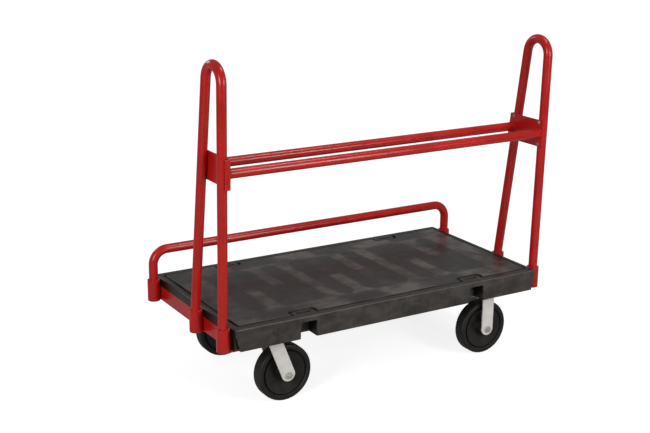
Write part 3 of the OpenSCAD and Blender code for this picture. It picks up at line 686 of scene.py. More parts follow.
@dataclass(frozen=True)
class BearingSteel(Finish):
    """Ground steel under a cloudy film of oil."""

    metal: float = 1.0
    fine: float = 1200.0
    broad: float = 60.0
    bump: Range = (0.08, 0.0002)
    rough_spread: Range = (-0.05, 0.1)


# The deck's second colour is the lighter tone that its painted sheen, painted highlight, wear and skirt
# streaks mix in.
DECK = MouldedDeck("moulded_deck", Slot.DECK, (0.0066, 0.0052, 0.0042), (0.106, 0.089, 0.078), 0.33)
PAINT = PowderCoat("red_powder_coat", Slot.PAINT, (0.46, 0.0092, 0.0068), (0.3772, 0.007544, 0.005576), 0.23)
ZINC = ZincPlate("zinc_plate", Slot.ZINC, (0.83, 0.8, 0.765), (0.72, 0.69, 0.65), 0.46)
RUBBER = TyreRubber("dusty_rubber", Slot.TYRE, (0.0098, 0.0078, 0.0062), (0.06, 0.055, 0.05), 0.5)
CORE = MouldedCore("moulded_core", Slot.CORE, (0.0125, 0.0102, 0.0084), (0.025, 0.0204, 0.0168), 0.42)
FASTENER = ZincPlate("bolt_zinc", Slot.ZINC, (0.52, 0.508, 0.485), (0.36, 0.35, 0.33), 0.36)
SCREW = ZincPlate("screw_zinc", Slot.ZINC, (0.34, 0.24, 0.22), (0.24, 0.15, 0.13), 0.4)
BEARING = BearingSteel("oiled_steel", Slot.BEARING, (0.5, 0.5, 0.5), (0.3, 0.3, 0.3), 0.3)


# Mesh making


def folds(edge: bmesh.types.BMEdge, angle: float) -> bool:
    """Tells whether an edge's two faces turn by more than an angle."""
    return edge.calc_face_angle(0.0) > angle


class Shape:
    """A bmesh under construction, with the operators that the cart's pieces share."""

    merge_dist = 1e-6
    node_merge_dist = 2e-6
    hex_cut_share = 0.12
    hex_cut_least = 0.0004
    ripple_rings = 6
    bead_sides = 10
    bead_squash = (1.0, 1.0, 0.7, 1.0)
    ring_bead_sides = 8
    ring_bead_squash = (1.0, 0.85, 1.0, 1.0)

    def __init__(self) -> None:
        """Starts an empty mesh with its edge layer."""
        self.bm = bmesh.new()
        self.edge_layer = self.bm.faces.layers.float.new(EDGE_LAYER)

    @classmethod
    def of_node(cls, node: str) -> "Shape":
        """Starts from a merged copy of a CAD node.

        Args:
            node: The node's name.

        Returns:
            The shape, with flat faces joined.
        """
        shape = cls()
        shape.bm.from_mesh(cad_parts[node].data)
        layers = shape.bm.faces.layers.float
        shape.edge_layer = layers.get(EDGE_LAYER) or layers.new(EDGE_LAYER)
        verts, edges = shape.bm.verts, shape.bm.edges
        bmesh.ops.remove_doubles(shape.bm, verts=verts, dist=cls.node_merge_dist)
        bmesh.ops.dissolve_limit(shape.bm, angle_limit=FLAT_ANGLE, verts=verts, edges=edges)
        return shape

    def sharp_edges(self, shortest: float) -> list[bmesh.types.BMEdge]:
        """Returns the sharp edges that are longer than shortest."""
        sharp = (edge for edge in self.bm.edges if folds(edge, SHARP_ANGLE))
        return [edge for edge in sharp if edge.calc_length() > shortest]

    def soften(self, edges: list[bmesh.types.BMEdge], width: float, segments: int = 2) -> None:
        """Bevels edges and marks the new faces for edge wear.

        Args:
            edges: The edges to round.
            width: The bevel's width.
            segments: The number of faces across it.
        """
        result = bmesh.ops.bevel(
            self.bm,
            geom=edges,
            offset=width,
            offset_type="OFFSET",
            segments=segments,
            profile=0.5,
            affect="EDGES",
            clamp_overlap=True,
            material=-1,
        )
        for face in result["faces"]:
            face[self.edge_layer] = 1.0

    def turned(self, profile: Profile, place: Matrix, steps: int = 48) -> list[bmesh.types.BMFace]:
        """Spins a profile of (radius, height) points into a closed ring or a solid of revolution.

        Args:
            profile: The points, in order; a radius of 0 closes on the axis.
            place: The transform that stands the shape in its place.
            steps: The number of faces round the axis.

        Returns:
            The new faces.
        """
        before = set(self.bm.faces)
        verts = [self.bm.verts.new((radius, 0.0, height)) for radius, height in profile]
        edges = [self.bm.edges.new(pair) for pair in zip(verts, verts[1:])]
        bmesh.ops.spin(
            self.bm,
            geom=verts + edges,
            cent=(0.0, 0.0, 0.0),
            axis=Turn.UP.value,
            angle=FULL_TURN,
            steps=steps,
            use_merge=True,
            use_duplicate=False,
        )
        faces = [face for face in self.bm.faces if face not in before]
        made = unique(vert for face in faces for vert in face.verts)
        bmesh.ops.remove_doubles(self.bm, verts=made, dist=self.merge_dist)
        faces = [face for face in self.bm.faces if face not in before]
        bmesh.ops.recalc_face_normals(self.bm, faces=faces)
        made = unique(vert for face in faces for vert in face.verts)
        bmesh.ops.transform(self.bm, matrix=place, verts=made)
        return faces

    def hexagon(self, across: float, height: float, place: Matrix) -> None:
        """Adds a hexagon prism with turned-down corners, which ends at its place.

        Args:
            across: The width across the flats.
            height: The prism's height.
            place: The transform of the middle of its upper face.
        """
        radius = across / 2 / math.cos(math.pi / 6)
        made = bmesh.ops.create_cone(
            self.bm,
            cap_ends=True,
            segments=6,
            radius1=radius,
            radius2=radius,
            depth=height,
            matrix=place @ Matrix.Translation((0.0, 0.0, -height / 2)),
        )
        edges = unique(edge for vert in made["verts"] for edge in vert.link_edges)
        folded = [edge for edge in edges if folds(edge, SMOOTH_ANGLE)]
        self.soften(folded, self.hex_cut_share * (radius - across / 2) + self.hex_cut_least)

    def ripples(self, spots: Iterable[Matrix], radius: float, sides: int) -> None:
        """Lays the ripples of a weld bead.

        Args:
            spots: The transforms of the ripples.
            radius: The radius of a ripple.
            sides: The number of faces round it.
        """
        counts = {"u_segments": sides, "v_segments": self.ripple_rings}
        for spot in spots:
            bmesh.ops.create_uvsphere(self.bm, radius=radius, matrix=spot, **counts)

    def bead(self, start: Point, end: Point, radius: float, count: int) -> None:
        """Lays a rippled weld bead between two points.

        Args:
            start: The first point.
            end: The last point.
            radius: The bead's radius.
            count: The number of ripples.
        """
        first, last = Vector(start), Vector(end)
        turn = upright_turn(last - first) @ Matrix.Diagonal(self.bead_squash)
        centres = (first.lerp(last, index / (count - 1)) for index in range(count))
        self.ripples((Matrix.Translation(centre) @ turn for centre in centres), radius, self.bead_sides)

    def ring_bead(self, place: Matrix, ring: float, radius: float, count: int) -> None:
        """Lays a rippled weld bead round a tube.

        Args:
            place: The transform that stands the ring round the tube.
            ring: The ring's radius.
            radius: The bead's radius.
            count: The number of ripples.
        """
        spot = Matrix.Translation((ring, 0.0, 0.0)) @ Matrix.Diagonal(self.ring_bead_squash)
        turns = (Matrix.Rotation(FULL_TURN * index / count, 4, "Z") for index in range(count))
        self.ripples((place @ turn @ spot for turn in turns), radius, self.ring_bead_sides)

    def piece(self, name: str, body: str, finish: Finish, node: str) -> None:
        """Turns the mesh into a finished piece of the cart.

        Args:
            name: The piece's name.
            body: The body that it rides on.
            finish: Its finish.
            node: The CAD node that it stands for.
        """
        mesh = bpy.data.meshes.new(name)
        for face in self.bm.faces:
            face.smooth = True
        for edge in self.bm.edges:
            edge.smooth = not folds(edge, SMOOTH_ANGLE)
        self.bm.to_mesh(mesh)
        self.bm.free()
        mesh.materials.append(finish.material())
        made = bpy.data.objects.new(name, mesh)
        bpy.context.scene.collection.objects.link(made)
        weigh = made.modifiers.new("weighted_normals", "WEIGHTED_NORMAL")
        weigh.keep_sharp = True
        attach(made, body)
        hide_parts(node)
        LOG.info("%s rides on %s, %d faces", name, body, len(mesh.polygons))


def softened_piece(name: str, body: str, finish: Finish, node: str, rounding: Rounding) -> None:
    """Builds a piece from a CAD node, with its sharp edges rounded.

    Args:
        name: The piece's name.
        body: The body that it rides on.
        finish: Its finish.
        node: The CAD node that it is made from and stands for.
        rounding: How its edges are rounded.
    """
    width, shortest = rounding.value
    shape = Shape.of_node(node)
    shape.soften(shape.sharp_edges(shortest), width)
    shape.piece(name, body, finish, node)


def dress_node(node: str, finish: Finish) -> None:
    """Gives a CAD node that stays its finish.

    Args:
        node: The node's name.
        finish: Its finish.
    """
    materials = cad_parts[node].data.materials
    materials.clear()
    materials.append(finish.material())
    LOG.info("%s keeps its solid", node)


@dataclass(frozen=True)
class HexBolt:
    """A hexagon bolt whose head ends at its seat and whose shank goes on from there."""

    diameter: float
    across: float
    head: float
    reach: float
    tip: float
    steps: int

    def add(self, shape: Shape, seat: Matrix) -> None:
        """Adds the bolt to a shape.

        Args:
            shape: The shape that takes it.
            seat: The transform of the seat, with the shank along +Z.
        """
        radius = self.diameter / 2
        shape.hexagon(self.across, self.head, seat)
        chamfer = [(radius, self.reach - self.tip), (radius - self.tip, self.reach)]
        shape.turned([(0.0, 0.0), (radius, 0.0), *chamfer, (0.0, self.reach)], seat, self.steps)


class TubeSweep:
    """A tube drawn as one skin, run by run and bend by bend."""

    sides = 36

    def __init__(self, start: Point, heading: Turn) -> None:
        """Starts the tube with one ring of edges.

        Args:
            start: The middle of the first ring.
            heading: The direction of the first run.
        """
        self.shape = Shape()
        self.heading = Vector(heading.value)
        ring = bmesh.ops.create_circle(
            self.shape.bm,
            cap_ends=False,
            segments=self.sides,
            radius=TUBE_R,
            matrix=heading.matrix(start),
        )
        self.first = unique(edge for vert in ring["verts"] for edge in vert.link_edges)
        self.ring = self.first

    def run(self, length: float) -> None:
        """Draws the tube straight on.

        Args:
            length: The length of the run.
        """
        made = bmesh.ops.extrude_edge_only(self.shape.bm, edges=self.ring)["geom"]
        verts = [item for item in made if isinstance(item, bmesh.types.BMVert)]
        bmesh.ops.translate(self.shape.bm, vec=self.heading * length, verts=verts)
        edges = [item for item in made if isinstance(item, bmesh.types.BMEdge)]
        self.ring = [edge for edge in edges if set(edge.verts) <= set(verts)]

    def bend(self, centre: Point, axis: Turn, angle: float, steps: int) -> None:
        """Bends the tube about an axis through centre.

        Args:
            centre: A point on the axis.
            axis: The axis's direction.
            angle: The turn, by the right-hand rule.
            steps: The number of faces along the bend.
        """
        verts = unique(vert for edge in self.ring for vert in edge.verts)
        made = bmesh.ops.spin(
            self.shape.bm,
            geom=verts + self.ring,
            cent=centre,
            axis=axis.value,
            angle=angle,
            steps=steps,
            use_merge=False,
            use_duplicate=False,
        )["geom_last"]
        self.ring = [item for item in made if isinstance(item, bmesh.types.BMEdge)]
        self.heading = Matrix.Rotation(angle, 3, Vector(axis.value)) @ self.heading

    def close(self) -> Shape:
        """Caps both ends of the tube.

        Returns:
            The shape that holds the tube.
        """
        for ring in (self.first, self.ring):
            bmesh.ops.contextual_create(self.shape.bm, geom=ring)
        bmesh.ops.recalc_face_normals(self.shape.bm, faces=self.shape.bm.faces)
        return self.shape


# Sub-assemblies


@dataclass
class Deck:
    """The moulded deck."""

    node: str = "deck"
    edge_width: float = 0.0012
    shortest_edge: float = 0.0035
    panel_top: float = 0.330
    mark_depth: float = 0.0006
    mark_lift: float = 0.0005
    half_width: float = 0.330
    notch_x: float = 0.357
    notch_w: float = 0.061
    notch_edge: float = 0.007
    notch_segments: int = 5
    near: float = 1e-4
    exact: float = 1e-5

    def build(self) -> None:
        """Builds the deck from its solid, with soft moulded edges and soft sink marks."""
        shape = Shape.of_node(self.node)
        sharp = shape.sharp_edges(self.shortest_edge)
        corners = [edge for edge in sharp if self.is_notch_corner(edge)]
        shape.soften(corners, self.notch_edge, self.notch_segments)
        sharp = shape.sharp_edges(self.shortest_edge)
        shape.soften([edge for edge in sharp if not self.is_panel_face(edge)], self.edge_width)
        self.soften_marks(shape)
        shape.piece("deck_moulding", CART, DECK, self.node)

    def is_notch_corner(self, edge: bmesh.types.BMEdge) -> bool:
        """Tells whether an edge is an upright corner where a strap notch opens in the skirt.

        Args:
            edge: The edge.

        Returns:
            Whether it is.
        """
        first, last = (vert.co for vert in edge.verts)
        upright = math.hypot(first.x - last.x, first.y - last.y) < self.exact
        at_notch = abs(abs(abs(first.x) - self.notch_x) - self.notch_w / 2) < self.near
        return upright and at_notch and abs(abs(first.y) - self.half_width) < self.near

    def is_panel_face(self, edge: bmesh.types.BMEdge) -> bool:
        """Tells whether an edge lies in the panel's face or in its shallow marks."""
        lowest = self.panel_top - self.mark_depth - self.near
        return all(lowest < vert.co.z < self.panel_top + self.near for vert in edge.verts)

    def soften_marks(self, shape: Shape) -> None:
        """Raises the floors of the sink marks until they barely show.

        Args:
            shape: The deck's shape.
        """
        floor = self.panel_top - self.mark_depth
        low = [vert for vert in shape.bm.verts if abs(vert.co.z - floor) < self.exact]
        bmesh.ops.translate(shape.bm, vec=(0.0, 0.0, self.mark_lift), verts=low)


@dataclass
class EndFrame:
    """One end bar with its three sockets, their welds and the bolts into the deck."""

    end: End
    bar_face_x: float = 0.637
    bar_low: float = 0.245
    bar_high: float = 0.298
    socket_r: float = 0.023
    socket_top: float = 0.325
    socket_low: float = 0.245
    socket_lip: float = 0.0012
    lip_in: float = 0.35
    lip_down: float = 0.3
    bore_r: float = 0.0168
    bead_r: float = 0.0022
    bead_out: float = 0.75
    bead_aside: float = 0.0044
    bead_count: int = 26
    bolt_x: float = 0.612
    bolt_ys: tuple[float, float, float] = (-0.2, 0.0, 0.2)
    bolt: HexBolt = HexBolt(0.010, 0.016, 0.006, 0.035, 0.001, 24)

    def build(self) -> None:
        """Builds the bar, the sockets with their welds, and the bolts."""
        side = self.end.word
        softened_piece(f"{side}_end_bar_angle", CART, PAINT, f"{side}_end_bar", Rounding.ANGLE_BAR)
        for name, y in SOCKET_YS.items():
            self.socket(f"{name}_{side}_socket", y)
        shape = Shape()
        for y in self.bolt_ys:
            self.bolt.add(shape, Turn.UP.matrix((self.end.value * self.bolt_x, y, self.bar_low)))
        shape.piece(f"{side}_end_bolt_set", CART, FASTENER, f"{side}_end_bolts")

    def socket(self, node: str, y: float) -> None:
        """Builds one socket and its two weld beads.

        Args:
            node: The socket's CAD node.
            y: Its place across the cart.
        """
        shape = Shape()
        sign = self.end.value
        lip = self.socket_lip
        profile = [
            (0.0, self.socket_low),
            (self.socket_r - lip, self.socket_low),
            (self.socket_r, self.socket_low + lip),
            (self.socket_r, self.socket_top - lip),
            (self.socket_r - self.lip_in * lip, self.socket_top - self.lip_down * lip),
            (self.socket_r - lip, self.socket_top),
            (self.bore_r + lip, self.socket_top),
            (self.bore_r, self.socket_top - lip),
            (self.bore_r, SEAT_Z),
            (0.0, SEAT_Z),
        ]
        shape.turned(profile, Turn.UP.matrix((sign * SOCKET_X, y, 0.0)))
        bead_x = sign * (self.bar_face_x + self.bead_r * self.bead_out)
        low = self.bar_low + self.bead_r
        high = self.bar_high - self.bead_r
        for bead_y in (y - self.bead_aside, y + self.bead_aside):
            shape.bead((bead_x, bead_y, low), (bead_x, bead_y, high), self.bead_r, self.bead_count)
        shape.piece(f"{node}_cup", CART, PAINT, node)


@dataclass
class Rack:
    """The leaning rack: two hairpin uprights, two brackets with screws, and two bars."""

    bend_z: float = 0.337
    mouth_bend_l: float = 0.012
    front_lean: float = math.radians(1.0)
    hairpin_r: float = 0.056
    hairpin_steps: int = 32
    rear_foot_steps: int = 4
    front_foot_steps: int = 3
    top_z: float = 1.206
    bar_z: float = 0.848
    bracket_face_x: float = 0.6393
    bead_r: float = 0.0028
    bead_in: float = 0.8
    bead_out: float = 0.4
    bead_count: int = 36
    screw_rise: float = 0.041
    screw_head_r: float = 0.007
    screw_head_h: float = 0.004
    screw_rim_h: float = 0.0009
    screw_crown_steps: int = 6
    screw_drive_r: float = 0.0025
    screw_drive_d: float = 0.0022
    screw_r: float = 0.004
    screw_reach: float = 0.016
    screw_steps: int = 24

    def __post_init__(self) -> None:
        """Works out the hairpin's place and the rear leg's lean."""
        self.front_y = SOCKET_YS["front"]
        self.middle_y = SOCKET_YS["middle"]
        self.hairpin_z = self.top_z - TUBE_R - self.hairpin_r
        rise = self.hairpin_z - self.bend_z
        lean_in = math.tan(self.front_lean) * rise
        self.hairpin_y = self.front_y - lean_in + self.hairpin_r / math.cos(self.front_lean)
        spread = self.middle_y - self.hairpin_y
        reach = math.hypot(spread, rise)
        self.rear_lean = math.atan2(spread, rise) - math.asin(self.hairpin_r / reach)
        self.legs = {"front": (self.front_y, self.front_lean), "rear": (self.middle_y, self.rear_lean)}

    def leg_y(self, leg: str, z: float) -> float:
        """Returns the place of a leg's middle across the cart at height z."""
        foot_y, lean = self.legs[leg]
        return foot_y - math.tan(lean) * (z - self.bend_z)

    def build(self) -> None:
        """Builds the uprights, the brackets, the screws and the bars."""
        for end in End:
            side = end.word
            self.upright(end)
            bracket = f"{side}_rack_bracket"
            softened_piece(f"{side}_bracket_channel", CART, PAINT, bracket, Rounding.CHANNEL)
            self.screws(end)
        for leg in self.legs:
            self.bar(f"{leg}_rack_bar", self.leg_y(leg, self.bar_z))

    def foot_bend(self, lean: float) -> tuple[float, float]:
        """Returns the radius of the bend over a socket, and the run that it takes up on each side."""
        radius = self.mouth_bend_l / lean
        return radius, radius * math.tan(lean / 2)

    def upright(self, end: End) -> None:
        """Builds one hairpin upright as a single swept tube, from the rear foot to the front foot.

        Args:
            end: The end that it stands at.
        """
        x = end.value * SOCKET_X
        along = Turn.TO_RIGHT
        rear_r, rear_h = self.foot_bend(self.rear_lean)
        front_r, front_h = self.foot_bend(self.front_lean)
        rear_top = self.hairpin_z + self.hairpin_r * math.sin(self.rear_lean)
        front_top = self.hairpin_z - self.hairpin_r * math.sin(self.front_lean)
        half_turn = math.pi - self.rear_lean + self.front_lean
        rear_low = self.bend_z - rear_h
        front_low = self.bend_z - front_h
        sweep = TubeSweep((x, self.middle_y, SEAT_Z), Turn.UP)
        sweep.run(rear_low - SEAT_Z)
        sweep.bend((x, self.middle_y - rear_r, rear_low), along, self.rear_lean, self.rear_foot_steps)
        sweep.run((rear_top - self.bend_z) / math.cos(self.rear_lean) - rear_h)
        sweep.bend((x, self.hairpin_y, self.hairpin_z), along, half_turn, self.hairpin_steps)
        sweep.run((front_top - self.bend_z) / math.cos(self.front_lean) - front_h)
        sweep.bend((x, self.front_y - front_r, front_low), along, -self.front_lean, self.front_foot_steps)
        sweep.run(front_low - SEAT_Z)
        sweep.close().piece(f"{end.word}_upright_tube", CART, PAINT, f"{end.word}_upright")

    def screws(self, end: End) -> None:
        """Builds one bracket's round-head screws.

        Args:
            end: The end that the bracket is at.
        """
        shape = Shape()
        profile = self.screw_profile()
        for z in (self.bar_z - self.screw_rise, self.bar_z + self.screw_rise):
            for leg in self.legs:
                place = end.inward.matrix((end.value * self.bracket_face_x, self.leg_y(leg, z), z))
                shape.turned(profile, place, self.screw_steps)
        shape.piece(f"{end.word}_bracket_screw_set", CART, SCREW, f"{end.word}_bracket_screws")

    def screw_profile(self) -> Profile:
        """Works out a screw's profile, with its head along +Z and a round drive hole in the crown.

        Returns:
            The points, from the shank's tip to the bottom of the hole.
        """
        crown = self.screw_head_h
        profile = [
            (0.0, -self.screw_reach),
            (self.screw_r, -self.screw_reach),
            (self.screw_r, 0.0),
            (self.screw_head_r, 0.0),
            (self.screw_head_r, self.screw_rim_h),
        ]
        for step in range(1, self.screw_crown_steps):
            angle = QUARTER_TURN * step / self.screw_crown_steps
            radius = self.screw_drive_r + (self.screw_head_r - self.screw_drive_r) * math.cos(angle)
            profile.append((radius, self.screw_rim_h + (crown - self.screw_rim_h) * math.sin(angle)))
        floor = crown - self.screw_drive_d
        return profile + [(self.screw_drive_r, crown), (self.screw_drive_r, floor), (0.0, floor)]

    def bar(self, node: str, y: float) -> None:
        """Builds one rack bar with a weld round each end.

        Args:
            node: The bar's CAD node.
            y: The bar's place across the cart.
        """
        sweep = TubeSweep((-self.bracket_face_x, y, self.bar_z), Turn.TO_RIGHT)
        sweep.run(2 * self.bracket_face_x)
        shape = sweep.close()
        ring = TUBE_R + self.bead_r * self.bead_out
        for end in End:
            bead_x = end.value * (self.bracket_face_x - self.bead_r * self.bead_in)
            place = end.inward.matrix((bead_x, y, self.bar_z))
            shape.ring_bead(place, ring, self.bead_r, self.bead_count)
        shape.piece(f"{node}_tube", CART, PAINT, node)


@dataclass
class StopRail:
    """The low rail along the rear edge."""

    rail_z: float = 0.435
    bend_r: float = 0.055
    bend_steps: int = 18

    def build(self) -> None:
        """Builds the rail as one swept tube."""
        y = SOCKET_YS["rear"]
        rise = self.rail_z - self.bend_r
        bend_x = SOCKET_X - self.bend_r
        sweep = TubeSweep((-SOCKET_X, y, SEAT_Z), Turn.UP)
        sweep.run(rise - SEAT_Z)
        sweep.bend((-bend_x, y, rise), Turn.TO_REAR, QUARTER_TURN, self.bend_steps)
        sweep.run(2 * bend_x)
        sweep.bend((bend_x, y, rise), Turn.TO_REAR, QUARTER_TURN, self.bend_steps)
        sweep.run(rise - SEAT_Z)
        sweep.close().piece("rear_rail_tube", CART, PAINT, "rear_rail")


@dataclass
class Wheel:
    """One wheel: a solid tyre on a dished core."""

    name: str
    x: float
    y: float
    radius: float = 0.103
    width: float = 0.048
    shoulder: float = 0.008
    shoulder_steps: int = 8
    tread_loop: float = 0.0012
    tyre_bore: float = 0.084
    tyre_lip: float = 0.0038
    lip_dust_and_highlight: float = 0.8
    dusty_shoulder: float = 0.6
    rim_step: float = 0.003
    rim_land: float = 0.006
    rim_play: float = 0.0001
    seam_d: float = 0.004
    core_edge: float = 0.0008
    hub_l: float = 0.079
    hub_r: float = 0.027
    hub_foot: float = 0.004
    bore_r: float = 0.01736
    web: float = 0.024
    steps: int = 96

    def build(self) -> None:
        """Builds the tyre and the core, and dresses the rollers."""
        inner = self.tyre_bore + self.lip_dust_and_highlight * self.tyre_lip
        outer = self.radius - self.dusty_shoulder * self.shoulder
        land = self.tyre_bore - self.rim_play - self.rim_land
        seam = land - self.core_edge
        # The tyre's tread and inner lip are marked: dust on the tread, dust and a painted highlight on the
        # lip.
        self.ring("tyre", "tyre_ring", self.tyre(), RUBBER, lambda reach: not inner <= reach <= outer)
        # The core's faces at the seam are marked for its painted shade.
        self.ring("core", "core_disc", self.core(land), CORE, lambda reach: reach > seam)
        dress_node(f"{self.name}_rollers", BEARING)

    def ring(
        self, node: str, piece: str, profile: Profile, finish: Finish, marked: Callable[[float], bool]
    ) -> None:
        """Turns one ring of the wheel and marks some of its faces.

        Args:
            node: The end of the CAD node's name.
            piece: The end of the piece's name.
            profile: The ring's closed profile.
            finish: Its finish.
            marked: Tells from a face's distance to the axle whether it is marked.
        """
        shape = Shape()
        centre = (self.x, self.y, self.radius)
        for face in shape.turned(profile, Turn.TO_FRONT.matrix(centre), self.steps):
            away = face.calc_center_median() - Vector(centre)
            face[shape.edge_layer] = float(marked(math.hypot(away.x, away.z)))
        shape.piece(f"{self.name}_{piece}", f"{self.name}_wheel", finish, f"{self.name}_{node}")

    def tyre(self) -> Profile:
        """Works out the tyre's profile, with a lip at the bore and round shoulders.

        Returns:
            The closed profile.
        """
        side = self.width / 2
        half = [(self.tyre_bore, side - self.tyre_lip), (self.tyre_bore + self.tyre_lip, side)]
        for step in range(self.shoulder_steps + 1):
            angle = QUARTER_TURN * step / self.shoulder_steps
            reach = self.radius - self.shoulder + self.shoulder * math.sin(angle)
            half.append((reach, side - self.shoulder + self.shoulder * math.cos(angle)))
        half.append((self.radius, self.tread_loop))
        return mirrored(half, [(self.radius, 0.0)])

    def core(self, land: float) -> Profile:
        """Works out the profile of the dished core.

        Args:
            land: The radius where the rim's face ends at the seam.

        Returns:
            The closed profile.
        """
        foot = self.hub_r + self.hub_foot
        hub = self.hub_l / 2
        web = self.web / 2
        rim = self.width / 2 - self.rim_step
        edge = self.core_edge
        fillet = 4 * edge
        half = [
            (self.bore_r, hub - edge),
            (self.bore_r + edge, hub),
            (self.hub_r - edge, hub),
            (self.hub_r, hub - edge),
            (foot - edge, web + fillet),
            (foot + edge, web + edge),
            (foot + fillet, web + edge),
            (land - 2 * edge, rim - edge),
            (land, rim),
            (land + edge, rim - self.seam_d),
            (self.tyre_bore - self.rim_play, rim - self.seam_d),
        ]
        return mirrored(half, [])


@dataclass
class Caster:
    """One caster: its fork, axle and wheel, and on a swivel caster the swivel head."""

    row: Row
    end: End
    trail: float = 0.051
    axle_z: float = 0.103
    fork_out: float = 0.045
    axle_bolt: HexBolt = HexBolt(0.0127, 0.022, 0.008, 0.101, 0.0012, 32)

    def build(self) -> None:
        """Builds the fork, the axle and the wheel, and the swivel head if there is one."""
        name = f"{self.row.word}_{self.end.word}"
        swivels = self.end is End.LEFT
        body = f"{name}_swivel" if swivels else CART
        x = self.end.value * CASTER_X + (self.trail if swivels else 0.0)
        y = self.row.value * CASTER_Y
        softened_piece(f"{name}_fork_pressing", body, ZINC, f"{name}_fork", Rounding.PRESSING)
        self.axle(name, body, (x, y, self.axle_z))
        dress_node(f"{name}_sleeve", BEARING)
        Wheel(name, x, y).build()
        if swivels:
            self.swivel_head(name)

    def axle(self, name: str, body: str, middle: Point) -> None:
        """Builds the axle bolt and its nut, with the nut on the outer side of the cart.

        Args:
            name: The caster's name.
            body: The body that the fork belongs to.
            middle: The middle of the axle.
        """
        bolt = Shape()
        seat = self.row.outward.matrix(middle) @ Matrix.Translation((0.0, 0.0, -self.fork_out))
        self.axle_bolt.add(bolt, seat)
        bolt.piece(f"{name}_axle_bolt", body, FASTENER, f"{name}_axle")
        softened_piece(f"{name}_axle_hex_nut", body, FASTENER, f"{name}_axle_nut", Rounding.NUT)

    def swivel_head(self, name: str) -> None:
        """Builds the top plate and the kingpin's nut, and dresses the balls and the kingpin.

        Args:
            name: The caster's name.
        """
        softened_piece(f"{name}_plate_pressing", CART, ZINC, f"{name}_plate", Rounding.PRESSING)
        softened_piece(f"{name}_kingpin_hex_nut", CART, FASTENER, f"{name}_kingpin_nut", Rounding.NUT)
        dress_node(f"{name}_kingpin", ZINC)
        dress_node(f"{name}_balls", BEARING)


@dataclass
class CasterBolts:
    """The bolts that hold the four casters' plates to the deck."""

    pitch_x: float = 0.092
    pitch_y: float = 0.076
    seat_z: float = 0.252
    bolt: HexBolt = HexBolt(0.010, 0.016, 0.006, 0.040, 0.001, 24)

    def build(self) -> None:
        """Builds the sixteen bolts as one piece."""
        shape = Shape()
        for end, row, side_x, side_y in product(End, Row, (-0.5, 0.5), (-0.5, 0.5)):
            x = end.value * CASTER_X + side_x * self.pitch_x
            y = row.value * CASTER_Y + side_y * self.pitch_y
            self.bolt.add(shape, Turn.UP.matrix((x, y, self.seat_z)))
        shape.piece("caster_bolt_set", CART, FASTENER, "caster_bolts")


# Studio


@dataclass(frozen=True)
class Softbox:
    """One large soft lamp."""

    name: str
    place: Point
    target: Point
    size: tuple[float, float]
    power: float

    def build(self) -> None:
        """Hangs the lamp and points it at its target."""
        light = bpy.data.lights.new(self.name, "AREA")
        light.shape = "RECTANGLE"
        light.size, light.size_y = self.size
        light.energy = self.power
        lamp = bpy.data.objects.new(self.name, light)
        lamp.location = self.place
        aim = Vector(self.target) - Vector(self.place)
        lamp.rotation_euler = aim.to_track_quat("-Z", "Y").to_euler()
        bpy.context.scene.collection.objects.link(lamp)


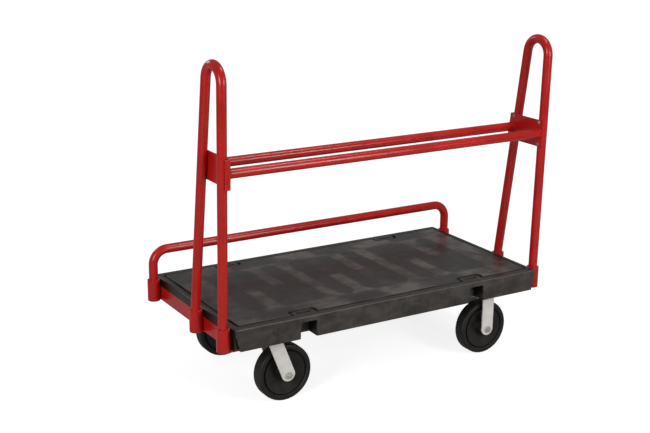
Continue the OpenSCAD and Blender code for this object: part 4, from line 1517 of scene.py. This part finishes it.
@dataclass
class Studio:
    """The floor, the lamps, the pale surroundings and the camera."""

    camera_place: Point = (-2.2775, -3.586, 1.7697)
    yaw: float = math.radians(31.27)
    pitch: float = math.radians(16.11)
    roll: float = math.radians(0.58)
    focal_px: float = 1194.7
    sensor: float = 36.0
    clip_start: float = 0.05
    clip_end: float = 200.0
    floor_half: float = 30.0
    floor_tone: Colour = (0.45, 0.45, 0.45)
    glow_away: Range = (1.2, 4.5)
    glow_level: Range = (0.82, 0.95)
    ambient: float = 0.22
    gloss_share: float = 0.14
    lamps: tuple[Softbox, ...] = (
        Softbox("key_softbox", (0.9, -2.5, 1.35), (0.1, 0.0, 0.75), (0.85, 1.1), 32.0),
        Softbox("top_softbox", (0.8, -0.7, 3.4), (0.0, 0.0, 0.4), (1.2, 0.5), 22.0),
        Softbox("fill_softbox", (-3.3, -1.9, 1.75), (0.0, 0.0, 0.8), (1.0, 1.5), 66.0),
        Softbox("back_softbox", (-1.6, 3.9, 2.4), (0.0, 0.0, 0.6), (1.4, 1.4), 24.0),
    )

    def build(self) -> None:
        """Builds the whole studio."""
        self.floor()
        self.surroundings()
        for lamp in self.lamps:
            lamp.build()
        self.camera()
        bpy.context.scene.view_settings.view_transform = "Standard"

    def seen_share(self, graph: Graph) -> Socket:
        """Works out how much of the white a ray shows: all to the camera, a share in gloss, else none.

        Args:
            graph: The graph of the floor or of the surroundings.

        Returns:
            The share, from 0 to 1.
        """
        rays = graph.node("ShaderNodeLightPath").outputs
        direct = graph.math("MAXIMUM", rays["Is Camera Ray"], rays["Is Transmission Ray"])
        return graph.math("MAXIMUM", direct, graph.times(rays["Is Glossy Ray"], self.gloss_share))

    def floor(self) -> None:
        """Lays a pale floor that keeps the cart's soft shadow."""
        bm = bmesh.new()
        bmesh.ops.create_grid(bm, x_segments=1, y_segments=1, size=self.floor_half)
        mesh = bpy.data.meshes.new("studio_floor")
        bm.to_mesh(mesh)
        bm.free()
        made = bpy.data.objects.new("studio_floor", mesh)
        bpy.context.scene.collection.objects.link(made)
        material = bpy.data.materials.new("pale_floor")
        material.use_nodes = True
        material.node_tree.nodes.clear()
        graph = Graph(material.node_tree)
        matt = graph.node("ShaderNodeBsdfDiffuse", {"Color": rgba(self.floor_tone)})
        across = graph.parts(graph.node("ShaderNodeTexCoord").outputs["Object"])
        level = graph.ramp(graph.length(across["X"], across["Y"]), *self.glow_away, *self.glow_level)
        glow = graph.node("ShaderNodeEmission", {"Strength": graph.times(self.seen_share(graph), level)})
        both = graph.node("ShaderNodeAddShader", {0: matt.outputs[0], 1: glow.outputs[0]})
        graph.node("ShaderNodeOutputMaterial", {"Surface": both.outputs[0]})
        mesh.materials.append(material)

    def surroundings(self) -> None:
        """Surrounds the cart with white that lights it at a plain level."""
        world = bpy.data.worlds.new("white_room")
        bpy.context.scene.world = world
        world.use_nodes = True
        world.node_tree.nodes.clear()
        graph = Graph(world.node_tree)
        white_share = graph.times(self.seen_share(graph), 1.0 - self.ambient)
        strength = graph.plus(self.ambient, white_share)
        white = graph.node("ShaderNodeBackground", {"Color": rgba(WHITE), "Strength": strength})
        graph.node("ShaderNodeOutputWorld", {"Surface": white.outputs[0]})

    def camera(self) -> None:
        """Sets the camera to the photo's viewpoint."""
        flat = math.cos(self.pitch)
        ahead = Vector((math.sin(self.yaw) * flat, math.cos(self.yaw) * flat, -math.sin(self.pitch)))
        level = Vector((math.cos(self.yaw), -math.sin(self.yaw), 0.0))
        upright = level.cross(ahead)
        right = math.cos(self.roll) * level + math.sin(self.roll) * upright
        up = math.cos(self.roll) * upright - math.sin(self.roll) * level
        turn = Matrix((right, up, -ahead)).transposed().to_4x4()
        data = bpy.data.cameras.new("photo_camera")
        data.sensor_width = self.sensor
        data.lens = self.focal_px * self.sensor / IMAGE_WIDTH
        data.clip_start = self.clip_start
        data.clip_end = self.clip_end
        made = bpy.data.objects.new("photo_camera", data)
        made.matrix_world = Matrix.Translation(self.camera_place) @ turn
        bpy.context.scene.collection.objects.link(made)
        bpy.context.scene.camera = made


def main() -> None:
    """Builds every sub-assembly of the cart, then the studio."""
    logging.basicConfig(level=logging.INFO, format="%(message)s")
    Deck().build()
    for end in End:
        EndFrame(end).build()
    Rack().build()
    StopRail().build()
    CasterBolts().build()
    for row, end in product(Row, End):
        Caster(row, end).build()
    Studio().build()


if __name__ == "__main__":
    main()
